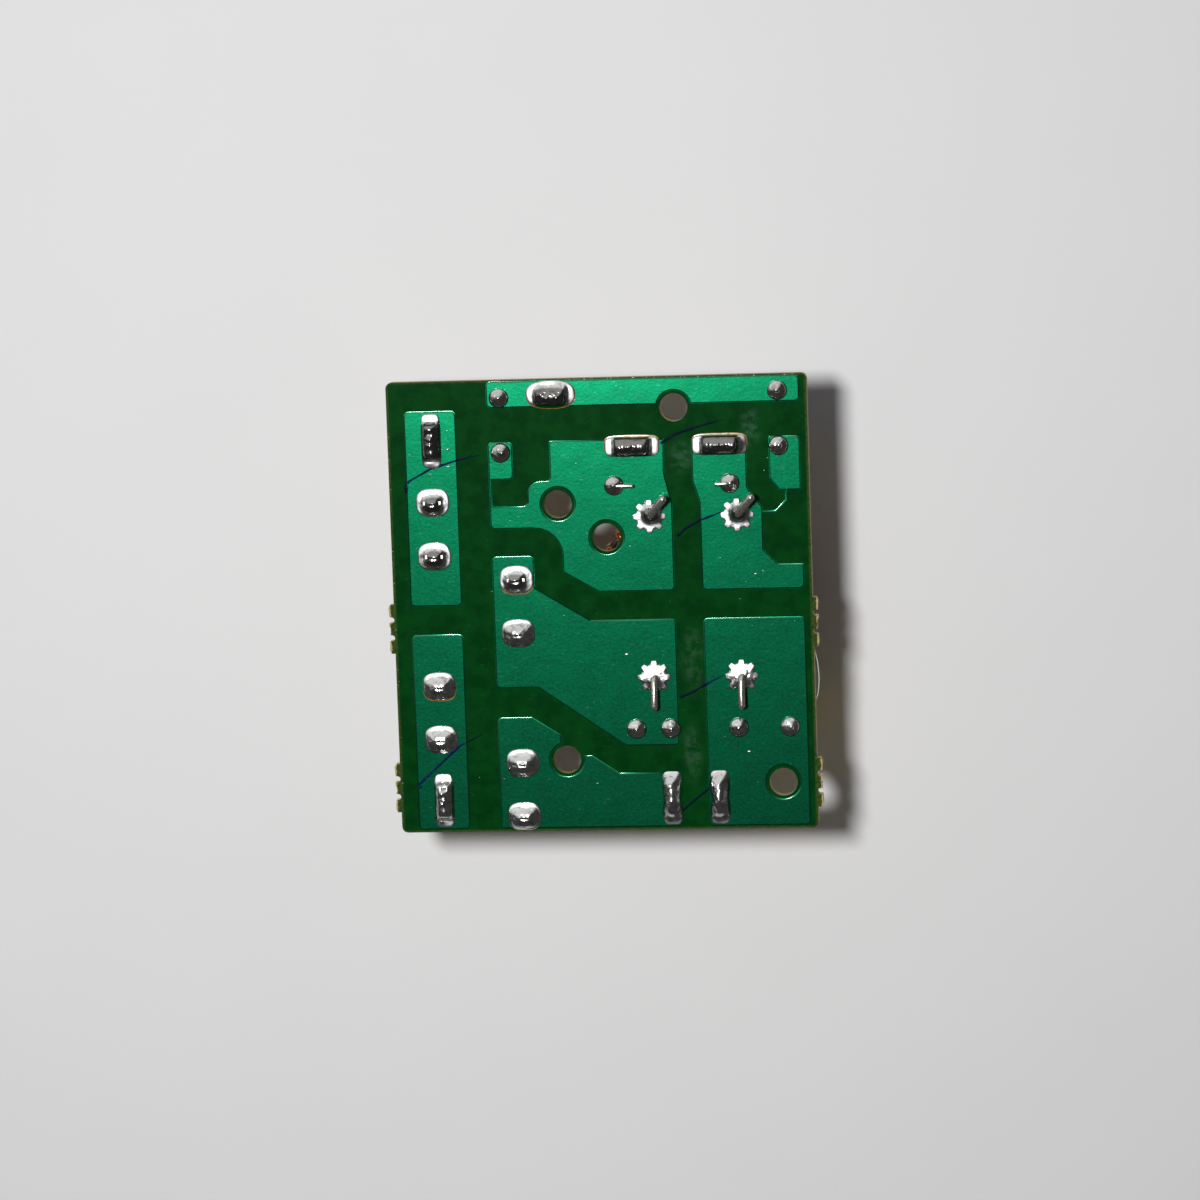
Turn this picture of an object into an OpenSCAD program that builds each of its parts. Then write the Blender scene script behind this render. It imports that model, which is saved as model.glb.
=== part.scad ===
// Mains noise filter board, lying solder side up on its parts.
// X runs across the board, Y along it, Z up. The origin is under the middle of the board, on the
// surface that the choke and the X capacitor stand on. All sizes are in millimetres.

/* [Board] */
// Width of the board between its routed sides
board_w = 61.5; // [61:0.5:75]
// Length of the board between its cut ends
board_l = 66.5; // [66:0.5:80]
// Thickness of the laminate
board_t = 1.6; // [1:0.1:2.4]
// Rounding of the board's corners
corner_r = 0.9; // [0.2:0.1:2]
// Diameter of the five plain holes through the board
hole_d = 4.1; // [3:0.1:4.6]
// Ring of bare laminate between a plain hole and the copper
hole_ring = 0.45; // [0.2:0.05:0.8]

/* [Breakaway stubs] */
// Length of a stub along the board's side
stub_l = 7.2; // [6.2:0.1:8]
// How far a stub stands out of the side
stub_out = 0.8; // [0.4:0.05:1.2]
// Diameter of the perforations that the board was broken off along
bite_d = 0.9; // [0.5:0.05:1.2]
// Pitch of the perforations
bite_pitch = 2.65; // [2:0.05:3]
// Depth of the torn face at the end of a stub
tear = 0.25; // [0.05:0.05:0.35]
// Distance of the upper stubs below the board's middle
stub_drop = 3; // [0:0.5:8]
// Distance of the lower stubs above the bottom edge
stub_rise = 6.65; // [5:0.05:12]

/* [Copper lands] */
// Height of a masked land above the laminate
land_t = 0.1; // [0.05:0.01:0.2]
// Rounding of a land's corners
land_r = 0.7; // [0.2:0.05:1]
// Gap between the earth strip and the board's top edge
strip_gap = 0.2; // [0.1:0.05:0.6]
// Gap between the lands and the board's bottom edge
foot_gap = 0.4; // [0.2:0.05:1]
// Gap between the right-hand lands and the board's side
side_gap = 1.1; // [0.5:0.05:2]
// Width of the land under a fuse and its blade tabs
fuse_land_w = 7.65; // [6.5:0.05:8.5]
// Width of the gap between the left and the right lands
middle_gap = 4; // [3:0.1:5]
// Width of the narrow track to a Y capacitor
track_w = 0.45; // [0.3:0.05:0.8]

/* [Blade tabs] */
// Width of a blade
blade_w = 6.3; // [4.8:0.1:6.6]
// Thickness of a blade
blade_t = 0.8; // [0.5:0.05:1]
// Length of a blade below its shoulders
blade_l = 8; // [6:0.1:10]
// Height of the shoulders
shoulder_h = 2.2; // [1:0.1:3.5]
// How far the shoulders are wider than the blade, on each side
shoulder_step = 0.6; // [0.3:0.05:0.8]
// Width of the foot through the board
foot_w = 4.4; // [3:0.1:5]
// Height of the foot above the board
foot_out = 1.2; // [0.8:0.05:1.5]
// Diameter of the detent hole
detent_d = 1.6; // [1:0.1:2]
// Width of the earth tab's blade
earth_w = 4.8; // [4:0.1:6]
// Width of the earth tab's foot
earth_foot_w = 2.8; // [2:0.1:3.4]
// Clearance round a foot or a leg in its slot
slot_gap = 0.15; // [0.05:0.05:0.25]

/* [Fuses] */
// Length of a fuse over its caps
fuse_l = 31.8; // [31:0.1:32.4]
// Diameter of the caps
fuse_d = 6.35; // [5:0.05:6.6]
// Length of a cap
cap_l = 6.4; // [5:0.1:8]
// Sheet thickness of a cap
cap_t = 0.3; // [0.2:0.05:0.5]
// Wall of the glass tube
glass_t = 0.7; // [0.4:0.05:1]
// Diameter of the fuse wire
element_d = 0.4; // [0.2:0.05:0.8]
// Sheet thickness of a clip
clip_t = 0.5; // [0.3:0.05:0.7]
// Length of a clip's jaws along the fuse
jaw_l = 6; // [4:0.1:6.6]
// Half of the angle that the jaws leave open
mouth_angle = 38; // [25:1:50]
// Distance between a clip's two legs
leg_pitch = 7.9; // [7.6:0.05:8.4]
// Width of a clip's leg
leg_w = 2.6; // [1.6:0.1:3]
// Height of a leg above the board
leg_out = 0.8; // [0.4:0.05:0.9]
// Clearance between a fuse's end and the clip's stop
stop_gap = 1.35; // [0.3:0.05:1.6]
// Distance between the two fuses
fuse_pitch = 11.95; // [10.5:0.05:12.5]

/* [Choke] */
// Outer diameter of the ring core
core_d = 28; // [25:0.5:28.5]
// Bore of the ring core
core_bore = 16; // [15:0.5:18]
// Height of the ring core
core_h = 12; // [8:0.5:13]
// Rounding of the core's coated edges
core_r = 1; // [0.5:0.1:2]
// Diameter of the enamelled wire
wire_d = 1.1; // [0.8:0.05:1.15]
// Clearance between the wire and the core
wrap_gap = 0.15; // [0.05:0.05:0.3]
// Number of turns in each winding
turns = 11; // [6:1:11]
// Angle between two turns
turn_step = 10.6; // [10.4:0.1:11]
// Distance between the leads of the two windings
pin_dx = 12.8; // [11:0.1:14]
// Distance between the two leads of a winding
pin_dy = 23.6; // [22:0.1:24.5]
// Thickness of the divider between the windings
divider_t = 1.5; // [0.8:0.1:2]
// Width of the bar that the divider seats on the core
bar_w = 5; // [3:0.1:5.5]

/* [Capacitors and resistor] */
// Length of the X capacitor's case
x_case_l = 26; // [24:0.5:26.5]
// Width of the X capacitor's case
x_case_w = 8.5; // [6:0.5:9]
// Height of the X capacitor's case, which the board stands on
x_case_h = 17; // [16:0.5:22]
// Wall of the X capacitor's case
x_case_t = 0.8; // [0.5:0.1:1.2]
// Lead pitch of the X capacitor
x_pitch = 22.5; // [20:0.1:23]
// Lead diameter of the X capacitor
x_lead_d = 0.8; // [0.5:0.05:0.9]
// Diameter of a Y capacitor's disc
y_disc_d = 9.5; // [8.5:0.1:11]
// Thickness of a Y capacitor's disc
y_disc_t = 4.2; // [3:0.1:5]
// Lead pitch of a Y capacitor
y_pitch = 8; // [7.5:0.1:8.2]
// Length of the resistor's body
resistor_l = 9.5; // [7:0.1:11]
// Diameter of the resistor's body
resistor_d = 3.3; // [2.4:0.1:3.6]
// Distance between the resistor's holes
resistor_pitch = 16.9; // [14.5:0.1:17.5]
// Lead diameter of the Y capacitors and the resistor
thin_lead_d = 0.6; // [0.4:0.05:0.8]

/* [Solder] */
// Diameter of a small round joint
dot_d = 3; // [2.4:0.1:3.4]
// Height of a small round joint
dot_h = 1.2; // [0.8:0.05:1.4]
// Length of a joint on a blade tab
tab_joint_l = 8.1; // [7:0.1:8.6]
// Width of a joint on a blade tab
tab_joint_w = 3; // [2.6:0.1:3.4]
// Length of a joint on a clip's leg
clip_joint_l = 5; // [4.8:0.1:5.4]
// Width of a joint on a clip's leg
clip_joint_w = 4.3; // [3.6:0.1:4.6]
// Length of the joint on the earth tab
earth_joint_l = 7.3; // [6.4:0.1:8]
// Width of the joint on the earth tab
earth_joint_w = 4.2; // [3.6:0.1:4.3]
// Diameter of a choke joint over its teeth
star_d = 5; // [4.6:0.1:5.2]

/* [Spacing along the board] */
// Clear length between the bottom edge and the input tabs' shoulders
input_tab_gap = 0.9; // [0.6:0.1:1.5]
// Clear length between the input tabs' shoulders and the X capacitor
tab_case_gap = 2.3; // [1.5:0.1:3]
// Clear length between the X capacitor and the core
case_core_gap = 1.1; // [0.8:0.1:2]
// Clear length between the core and the resistor
core_resistor_gap = 0.8; // [0.6:0.1:1.5]
// Clear length between the resistor and the output tabs' joints
resistor_tab_gap = 2.45; // [2:0.05:3.5]
// Clear length between the output tabs' joints and the ring of the top hole
tab_hole_gap = 1.6; // [1:0.1:2.5]
// Clear length between the top hole and the top edge
hole_edge_gap = 2.5; // [2:0.1:3.5]
// Clear length between the bottom edge and the lower fuse tab's joint
fuse_tab_foot_gap = 0.7; // [0.5:0.1:1.5]
// Clear length between the lower fuse tab's joint and the first clip joint
fuse_tab_lower_gap = 2.85; // [2:0.05:3.5]
// Clear length between the last clip joint and the upper fuse tab's joint
fuse_tab_upper_gap = 2.8; // [2:0.05:3.5]
// Clear length between the upper fuse tab's joint and the top edge
fuse_tab_head_gap = 4.65; // [4.4:0.05:5.5]
// Clear length between the bottom edge and the inner fuse's last clip joint
clip_edge_gap = 0.1; // [0.05:0.05:0.3]

/* [Hidden] */
$fn = 48;

// Heights
under = x_case_h;                  // component side of the laminate
face = under + board_t;            // solder side of the laminate
copper = face + land_t;            // top of the lands, where the solder sits

// Edges of the board
left = -board_w / 2;
right = board_w / 2;
bottom = -board_l / 2;
top = board_l / 2;

// Fuses and their clips
leg_y = fuse_l / 2 + stop_gap + clip_t / 2;      // outer leg of a clip from the fuse's middle
legs_l = 2 * leg_y + clip_joint_w;               // from end to end of a fuse's clip joints
fuse_gaps = fuse_tab_foot_gap + fuse_tab_lower_gap + fuse_tab_upper_gap + fuse_tab_head_gap;
fuse_share = (board_l - 2 * tab_joint_l - legs_l) / fuse_gaps;
fuse_tab_y = bottom + fuse_share * fuse_tab_foot_gap + tab_joint_l / 2;
fuse_a = [left + 6.35, fuse_tab_y + tab_joint_l / 2 + fuse_share * fuse_tab_lower_gap + legs_l / 2];
fuse_b = [fuse_a[0] + fuse_pitch, bottom + clip_edge_gap + legs_l / 2];
clip_y = leg_y - leg_pitch / 2;                  // middle of a clip from the fuse's middle
jaw_r = fuse_d / 2 + 0.02;                       // inside of the jaws, which hold the cap
fuse_z = under - clip_t - jaw_r;
glass_d = fuse_d - 2 * cap_t;

// Choke
tab_half = blade_w / 2 + shoulder_step;
hole_reach = hole_d / 2 + hole_ring;
choke_gaps = input_tab_gap + tab_case_gap + case_core_gap + core_resistor_gap + resistor_tab_gap
    + tab_hole_gap + hole_edge_gap;
choke_stack = 2 * tab_half + x_case_w + core_d + resistor_d + tab_joint_w + hole_reach + hole_d / 2;
share = (board_l - choke_stack) / choke_gaps;
input_tab_y = bottom + share * input_tab_gap + tab_half;
x_y = input_tab_y + tab_half + share * tab_case_gap + x_case_w / 2;
choke = [right - 17, x_y + x_case_w / 2 + share * case_core_gap + core_d / 2];
resistor_y = choke[1] + core_d / 2 + share * core_resistor_gap + resistor_d / 2;
output_tab_y = resistor_y + resistor_d / 2 + share * resistor_tab_gap + tab_joint_w / 2;
top_hole_y = output_tab_y + tab_joint_w / 2 + share * tab_hole_gap + hole_reach;
wire_r = wire_d / 2;
core_z = wire_d + wrap_gap;                      // underside of the core
inner_r = core_bore / 2 - wrap_gap - wire_r;     // wire inside the core
outer_r = core_d / 2 + wrap_gap + wire_r;        // wire outside the core
low_z = wire_r;                                  // wire under the core
high_z = core_z + core_h + wrap_gap + wire_r;    // wire over the core
first_turn = -58;

// Blade tabs: place and whether they run along the board
tab_fuse_upper_at = [fuse_a[0] + 0.1, top - fuse_share * fuse_tab_head_gap - tab_joint_l / 2];
tab_fuse_lower_at = [fuse_a[0] + 0.1, fuse_tab_y];
tab_output_left_at = [choke[0] - 8.65, output_tab_y];
tab_output_right_at = [choke[0] + 4.15, output_tab_y];
tab_input_left_at = [choke[0] - 4.3, input_tab_y];
tab_input_right_at = tab_input_left_at + [7, 0];
tab_earth_at = [left + 24.25, top - 2.25];

// Capacitors and resistor
x_at = [right - 15, x_y];
y_left_at = [fuse_b[0] - 1.7, top - 6.6];
y_right_at = [right - 4.3, top - 6.4];
resistor_at = [choke[0] - 3, resistor_y];
resistor_z = under - 0.3 - resistor_d / 2;
y_disc_z = under - 2.2 - y_disc_d / 2;
x_row = [for (x = [-x_pitch / 2, -x_pitch / 2 + 5, -x_pitch / 2 + 15, x_pitch / 2]) x_at + [x, 0]];

// Plain holes
plain_holes = [
    [right - 19.4, top_hole_y],
    [left + 24.75, top - 18.3],
    [left + 31.75, top - 23.3],
    [left + 24.85, bottom + 10.55],
    [right - 4.95, bottom + 6.8]
];

// Edges that several lands share
column = fuse_b[0] - 3.55;                       // left side of the middle lands
gap_left = choke[0] - 1 - middle_gap / 2;        // right side of the middle lands
gap_right = gap_left + middle_gap;               // left side of the right-hand lands
side = right - side_gap;                         // right side of the right-hand lands
lands_top = top - 9.05;
lands_foot = bottom + foot_gap;
upper_foot = choke[1] + 0.9;                     // bottom of the output lands
lower_top = choke[1] - 3.2;                      // top of the input lands

// Arc points that round the corner b between its neighbours a and c
function unit(v) = v / norm(v);
function turn(from, to) = ((to - from + 540) % 360) - 180;
function corner(a, b, c, r) =
    let (u = unit(a - b), v = unit(c - b), half = acos(u * v) / 2)
    let (centre = b + unit(u + v) * r / sin(half))
    let (start = b + u * r / tan(half) - centre, end = b + v * r / tan(half) - centre)
    let (from = atan2(start[1], start[0]), sweep = turn(from, atan2(end[1], end[0])))
    let (steps = max(2, ceil(abs(sweep) / 15)))
    [for (i = [0:steps]) centre + r * [cos(from + sweep * i / steps), sin(from + sweep * i / steps)]];

// Outline through the points [x, y, radius], each corner rounded by its radius
function xy(p) = [p[0], p[1]];
function outline(p) =
    let (n = len(p))
    [for (i = [0:n - 1])
        each p[i][2] == 0
            ? [xy(p[i])]
            : corner(xy(p[(i + n - 1) % n]), xy(p[i]), xy(p[(i + 1) % n]), p[i][2])];
function box_points(x0, y0, x1, y1, r) = [[x0, y0, r], [x1, y0, r], [x1, y1, r], [x0, y1, r]];

module slab(w, l, r) {
    polygon(outline(box_points(-w / 2, -l / 2, w / 2, l / 2, r)));
}

// Round bar through the points, with a ball at every bend
module straight(a, b, d) {
    v = b - a;
    translate(a)
        rotate([0, acos(v[2] / norm(v)), atan2(v[1], v[0])])
            cylinder(d = d, h = norm(v), $fn = 24);
}

module bar(points, d) {
    for (i = [0:len(points) - 2])
        straight(points[i], points[i + 1], d);
    for (i = [1:1:len(points) - 2])
        translate(points[i]) sphere(d = 1.04 * d, $fn = 24);
}

// Everything that is drilled or slotted for a lead, a leg or a foot
module slot_for(at, w, t, along) {
    translate(at)
        rotate(along ? 90 : 0)
            square([w + 2 * slot_gap, t + 2 * slot_gap], center = true);
}

module lead_hole(at, d) {
    translate(at)
        circle(d = d + 2 * slot_gap);
}

module lead_openings() {
    slot_for(tab_fuse_upper_at, foot_w, blade_t, true);
    slot_for(tab_fuse_lower_at, foot_w, blade_t, true);
    slot_for(tab_output_left_at, foot_w, blade_t, false);
    slot_for(tab_output_right_at, foot_w, blade_t, false);
    slot_for(tab_input_left_at, foot_w, blade_t, true);
    slot_for(tab_input_right_at, foot_w, blade_t, true);
    slot_for(tab_earth_at, earth_foot_w, blade_t, false);
    for (f = [fuse_a, fuse_b], y = [leg_y, leg_y - leg_pitch, leg_pitch - leg_y, -leg_y])
        slot_for(f + [0, y], leg_w, clip_t, false);
    for (x = [-1, 1], y = [-1, 1])
        lead_hole(choke + [x * pin_dx / 2, y * pin_dy / 2], wire_d);
    for (at = x_row)
        lead_hole(at, x_lead_d);
    for (at = [y_left_at, y_right_at], y = [-1, 1])
        lead_hole(at + [0, y * y_pitch / 2], thin_lead_d);
    for (x = [-1, 1])
        lead_hole(resistor_at + [x * resistor_pitch / 2, 0], thin_lead_d);
}

// Board
module stub(y) {
    // The stub's torn outer face runs in and out between the perforations
    half = stub_l / 2;
    translate([right, y])
        difference() {
            polygon([
                [-corner_r, -half], [stub_out - tear, -half], [stub_out, -half + 0.5],
                [stub_out - tear / 2, -bite_pitch / 2], [stub_out - tear, 0], [stub_out, 0.6],
                [stub_out - tear / 2, bite_pitch / 2], [stub_out, half - 0.4],
                [stub_out - tear, half], [-corner_r, half]
            ]);
            for (s = [-1, 1])
                translate([stub_out * 0.55, s * bite_pitch / 2]) {
                    circle(d = bite_d);
                    translate([0, -bite_d / 2])
                        square([stub_out, bite_d]);
                }
        }
}

module laminate() {
    color([0.05, 0.27, 0.09])
        translate([0, 0, under])
            linear_extrude(board_t)
                difference() {
                    union() {
                        slab(board_w, board_l, corner_r);
                        for (y = [-stub_drop, bottom + stub_rise]) {
                            stub(y);
                            mirror([1, 0]) stub(y);
                        }
                    }
                    for (at = plain_holes)
                        translate(at) circle(d = hole_d);
                    lead_openings();
                }
}

// Copper lands under their solder mask
module land(points) {
    color([0, 0.6, 0.37])
        translate([0, 0, face])
            linear_extrude(land_t)
                difference() {
                    polygon(outline(points));
                    for (at = plain_holes)
                        translate(at) circle(d = hole_d + 2 * hole_ring);
                    lead_openings();
                }
}

fuse_land_x = fuse_a[0] - fuse_land_w / 2;
fuse_land_split = fuse_a[1] + 0.15;
module land_fuse_upper() {
    land(box_points(fuse_land_x, fuse_land_split + 2.1, fuse_land_x + fuse_land_w, top - 4.3, land_r));
}

module land_fuse_lower() {
    land(box_points(fuse_land_x, lands_foot, fuse_land_x + fuse_land_w, fuse_land_split - 2.1, land_r));
}

module land_earth() {
    land(box_points(column, top - 4.05, side, top - strip_gap, land_r));
}

module land_output_left() {
    // A pad for the Y capacitor hangs on a narrow track off the land's left side. The strip below it
    // shares what is free down to the choke's land.
    hole = plain_holes[1];
    pad_foot = lands_top - 5.5;
    free = pad_foot - choke_left_top;
    strip_foot = choke_left_top + 0.3556 * free;
    strip_head = strip_foot + 0.2933 * free;
    land([
        [column, lands_top, land_r],
        [column + 3.6, lands_top, land_r],
        [column + 3.6, pad_foot, land_r],
        [column + track_w, pad_foot, 0],
        [column + track_w, strip_head, 0],
        [hole[0] - 4.4, strip_head, land_r],
        [hole[0] - 4.4, strip_head + 3.6, 1.9],
        [hole[0] - 1, strip_head + 3.6, 0.5],
        [hole[0] - 1, lands_top, 0.15],
        [gap_left - 0.95, lands_top, 0.15],
        [gap_left - 1.05, lands_top - 5, 2],
        [gap_left, choke[1] + 13.7, 2],
        [gap_left, upper_foot, land_r],
        [hole[0] + 5.6, upper_foot, 1],
        [hole[0] + 0.45, upper_foot + 3, 0.5],
        [hole[0] + 0.45, strip_foot, 4.1],
        [column, strip_foot, land_r]
    ]);
}

module land_output_right() {
    // The land wraps the choke's lead, and a narrow track climbs to the Y capacitor's pad
    pad = y_right_at[0];
    foot = choke[1] + 15.3;
    land([
        [gap_right - 0.95, lands_top, land_r],
        [choke[0] + 8, lands_top, 0.15],
        [choke[0] + 8, foot + 0.5, 1],
        [choke[0] + 10.1, choke[1] + 12.3, 1],
        [choke[0] + 10.1, choke[1] + 12.15 + track_w / 2, 0],
        [pad - 0.7, choke[1] + 12.15 + track_w / 2, 0],
        [pad + 1 - track_w / 2, choke[1] + 13.9, 0],
        [pad + 1 - track_w / 2, foot, 0],
        [pad - 0.1, foot, 0],
        [pad - 1.45, foot + 1.75, 0.2],
        [pad - 1.45, lands_top, 0.3],
        [side - 0.1, lands_top, land_r],
        [side - 0.1, foot, 0.1],
        [pad + 1 + track_w / 2, foot, 0],
        [pad + 1 + track_w / 2, choke[1] + 13.7, 0],
        [pad - 0.5, choke[1] + 12.15 - track_w / 2, 0],
        [choke[0] + 10.1, choke[1] + 12.15 - track_w / 2, 0],
        [choke[0] + 10.1, choke[1] + 6.7, 0.4],
        [choke[0] + 12.2, upper_foot + 3.65, 0.4],
        [side, upper_foot + 3.65, 0.1],
        [side, upper_foot, land_r],
        [gap_right, upper_foot, land_r],
        [gap_right, choke[1] + 13.7, 2],
        [gap_right - 1, lands_top - 6.2, 2]
    ]);
}

clip_c = fuse_b[1] + clip_y;
choke_left_top = clip_c + leg_pitch / 2 + clip_joint_w / 2 + 1.3;
module land_choke_left() {
    land([
        [column, choke_left_top, land_r],
        [column + 6.2, choke_left_top, land_r],
        [column + 6.2, clip_c + 2.7, 0.2],
        [column + 14.3, lower_top, 0.2],
        [gap_left, lower_top, land_r],
        [gap_left, x_at[1] - 2.5, land_r],
        [x_row[0][0] - 1.65, x_at[1] - 2.5, 0.6],
        [column + 6.2, clip_c - 12.05, 0.6],
        [column, clip_c - 12.05, land_r]
    ]);
}

module land_input_left() {
    hole = plain_holes[3];
    crest = fuse_b[1] - clip_y + 10.75;
    land([
        [column, crest, land_r],
        [column + 5.1, crest, 0.4],
        [hole[0] - 0.75, crest - 2.75, land_r],
        [hole[0] - 0.75, hole[1] + 0.6, 0.4],
        [hole[0] + 3.7, hole[1] + 0.6, 0.4],
        [hole[0] + 7.7, tab_input_left_at[1] + 3.8, 0.4],
        [gap_left, tab_input_left_at[1] + 3.8, 0.2],
        [gap_left, lands_foot, 0.3],
        [column, lands_foot, 0.3]
    ]);
}

module land_input_right() {
    land(box_points(gap_right, lands_foot, side, lower_top, land_r));
}

// Blade tabs: shoulders against the component side, foot through the board
module blade(at, along, w, foot) {
    tip = under - shoulder_h - blade_l;
    shoulder = w + 2 * shoulder_step;
    color([0.83, 0.84, 0.85])
        translate(at)
            rotate(along ? 90 : 0)
                difference() {
                    rotate([90, 0, 0])
                        linear_extrude(blade_t, center = true)
                            polygon([
                                [-foot / 2, copper + foot_out], [foot / 2, copper + foot_out],
                                [foot / 2, under], [shoulder / 2, under],
                                [shoulder / 2, under - shoulder_h], [w / 2, under - shoulder_h],
                                [w / 2, tip + 1.2], [w / 2 - 0.9, tip],
                                [0.9 - w / 2, tip], [-w / 2, tip + 1.2],
                                [-w / 2, under - shoulder_h], [-shoulder / 2, under - shoulder_h],
                                [-shoulder / 2, under], [-foot / 2, under]
                            ]);
                    translate([0, 0, tip + 3.3])
                        rotate([90, 0, 0])
                            cylinder(d = detent_d, h = 2 * blade_t, center = true);
                    // The tip is bevelled on both faces, so that a receptacle slides on
                    for (s = [0, 1])
                        mirror([0, s, 0])
                            rotate([90, 0, 90])
                                linear_extrude(2 * w, center = true)
                                    polygon([
                                        [blade_t / 4, tip - 1], [blade_t / 4, tip],
                                        [blade_t / 2, tip + 1], [blade_t, tip + 1],
                                        [blade_t, tip - 1]
                                    ]);
                }
}

module tab_fuse_upper() { blade(tab_fuse_upper_at, true, blade_w, foot_w); }
module tab_fuse_lower() { blade(tab_fuse_lower_at, true, blade_w, foot_w); }
module tab_output_left() { blade(tab_output_left_at, false, blade_w, foot_w); }
module tab_output_right() { blade(tab_output_right_at, false, blade_w, foot_w); }
module tab_input_left() { blade(tab_input_left_at, true, blade_w, foot_w); }
module tab_input_right() { blade(tab_input_right_at, true, blade_w, foot_w); }
module tab_earth() { blade(tab_earth_at, false, earth_w, earth_foot_w); }

// Fuse clips: one bent strip each, with a leg at both ends and a stop at the outer end
module jaw_section() {
    lip = jaw_r + clip_t / 2;
    mouth = lip * [sin(mouth_angle), -cos(mouth_angle)];
    difference() {
        circle(r = jaw_r + clip_t, $fn = 64);
        circle(r = jaw_r, $fn = 64);
        polygon([
            [0, 0], 3 * jaw_r * [sin(mouth_angle), -cos(mouth_angle)], [0, -4 * jaw_r],
            3 * jaw_r * [-sin(mouth_angle), -cos(mouth_angle)]
        ]);
    }
    for (s = [0, 1])
        mirror([s, 0])
            translate(mouth) {
                circle(d = clip_t, $fn = 24);
                rotate(-mouth_angle / 2)
                    translate([-clip_t / 2, -1.5]) square([clip_t, 1.5]);
            }
}

module clip(fuse, outward) {
    base_w = 1.5 * fuse_d / 2;
    color([0.78, 0.77, 0.72])
        translate([fuse[0], fuse[1] + outward * clip_y, 0]) {
            translate([0, 0, fuse_z])
                rotate([90, 0, 0])
                    linear_extrude(jaw_l, center = true) jaw_section();
            translate([-base_w / 2, -leg_pitch / 2, under - clip_t])
                cube([base_w, leg_pitch, clip_t]);
            for (s = [-1, 1])
                translate([-leg_w / 2, s * leg_pitch / 2 - clip_t / 2, under - clip_t])
                    cube([leg_w, clip_t, copper + leg_out - under + clip_t]);
            translate([-leg_w / 2, outward * leg_pitch / 2 - clip_t / 2, fuse_z - 0.6])
                cube([leg_w, clip_t, under - fuse_z + 0.3]);
        }
}

module clip_a_upper() { clip(fuse_a, 1); }
module clip_a_lower() { clip(fuse_a, -1); }
module clip_b_upper() { clip(fuse_b, 1); }
module clip_b_lower() { clip(fuse_b, -1); }

// Glass fuses
module along_fuse(fuse) {
    translate([fuse[0], fuse[1], fuse_z])
        rotate([-90, 0, 0]) children();
}

module fuse_glass(fuse) {
    color([0.85, 0.92, 0.93, 0.4])
        along_fuse(fuse)
            difference() {
                cylinder(d = glass_d, h = fuse_l - 2 * cap_t, center = true);
                cylinder(d = glass_d - 2 * glass_t, h = fuse_l, center = true);
            }
}

module fuse_cap(fuse, outward) {
    color([0.85, 0.85, 0.86])
        along_fuse(fuse)
            mirror([0, 0, outward > 0 ? 0 : 1])
                translate([0, 0, fuse_l / 2 - cap_l])
                    difference() {
                        cylinder(d = fuse_d, h = cap_l);
                        translate([0, 0, -cap_t])
                            cylinder(d = glass_d, h = cap_l);
                    }
}

module fuse_wire(fuse) {
    color([0.8, 0.8, 0.82])
        along_fuse(fuse)
            cylinder(d = element_d, h = fuse_l - 2 * cap_t, center = true, $fn = 24);
}

module fuse_a_glass() { fuse_glass(fuse_a); }
module fuse_a_cap_upper() { fuse_cap(fuse_a, 1); }
module fuse_a_cap_lower() { fuse_cap(fuse_a, -1); }
module fuse_a_wire() { fuse_wire(fuse_a); }
module fuse_b_glass() { fuse_glass(fuse_b); }
module fuse_b_cap_upper() { fuse_cap(fuse_b, 1); }
module fuse_b_cap_lower() { fuse_cap(fuse_b, -1); }
module fuse_b_wire() { fuse_wire(fuse_b); }

// Choke: coated ring core, divider and two windings
module at_choke() {
    translate([choke[0], choke[1], 0]) children();
}

module choke_core() {
    wide = (core_d - core_bore) / 2;
    color([0.1, 0.12, 0.12])
        at_choke()
            translate([0, 0, core_z])
                rotate_extrude($fn = 96)
                    translate([core_bore / 2, 0])
                        polygon(outline(box_points(0, 0, wide, core_h, core_r)));
}

module choke_divider() {
    seat = core_z + core_h;
    color([0.93, 0.92, 0.88])
        at_choke() {
            translate([-divider_t / 2, -core_bore / 2 + 0.05, core_z])
                cube([divider_t, core_bore - 0.1, core_h]);
            translate([-bar_w / 2, -core_d / 2, seat])
                cube([bar_w, core_d, under - seat]);
        }
}

function polar(r, a, z) = [r * cos(a), r * sin(a), z];
pin_r = norm([pin_dx, pin_dy]) / 2;
pin_angle = atan2(pin_dy, pin_dx);

// A lead through the board, bent over on the solder side towards its tip. Both upper leads lean to
// the right, so the mirrored winding's tip is turned the other way first.
low_tip = [0, -4.7, 0.8];
high_tips = [[2.6, 3.1, 1.6], [-2.6, 3.1, 1.6]];
function tail(pin, tip) = [
    pin + tip + [0, 0, face + 0.75],
    pin + [0, 0, face + 0.75],
    pin + [0, 0, under - 0.3]
];
low_tail = tail(polar(pin_r, -pin_angle, 0), low_tip);
function high_tail(side) = tail(polar(pin_r, pin_angle, 0), high_tips[side]);

// One turn: under the core, up the bore and over the core to the next turn
function turn_points(i) =
    let (a = first_turn + i * turn_step)
    [
        polar(outer_r, a, low_z),
        polar(inner_r, a, low_z),
        polar(inner_r, a, high_z),
        if (i < turns - 1) polar(outer_r, a + turn_step, high_z)
    ];

module winding(side) {
    color([0.72, 0.38, 0.16])
        at_choke()
            bar([
                each low_tail,
                polar(outer_r, first_turn, high_z),
                for (i = [0:turns - 1]) each turn_points(i),
                polar(pin_r, pin_angle, high_z),
                high_tail(side)[1],
                high_tail(side)[0]
            ], wire_d);
}

module choke_winding_left() {
    translate([2 * choke[0], 0, 0]) mirror([1, 0, 0]) winding(1);
}

module choke_winding_right() {
    winding(0);
}

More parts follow.
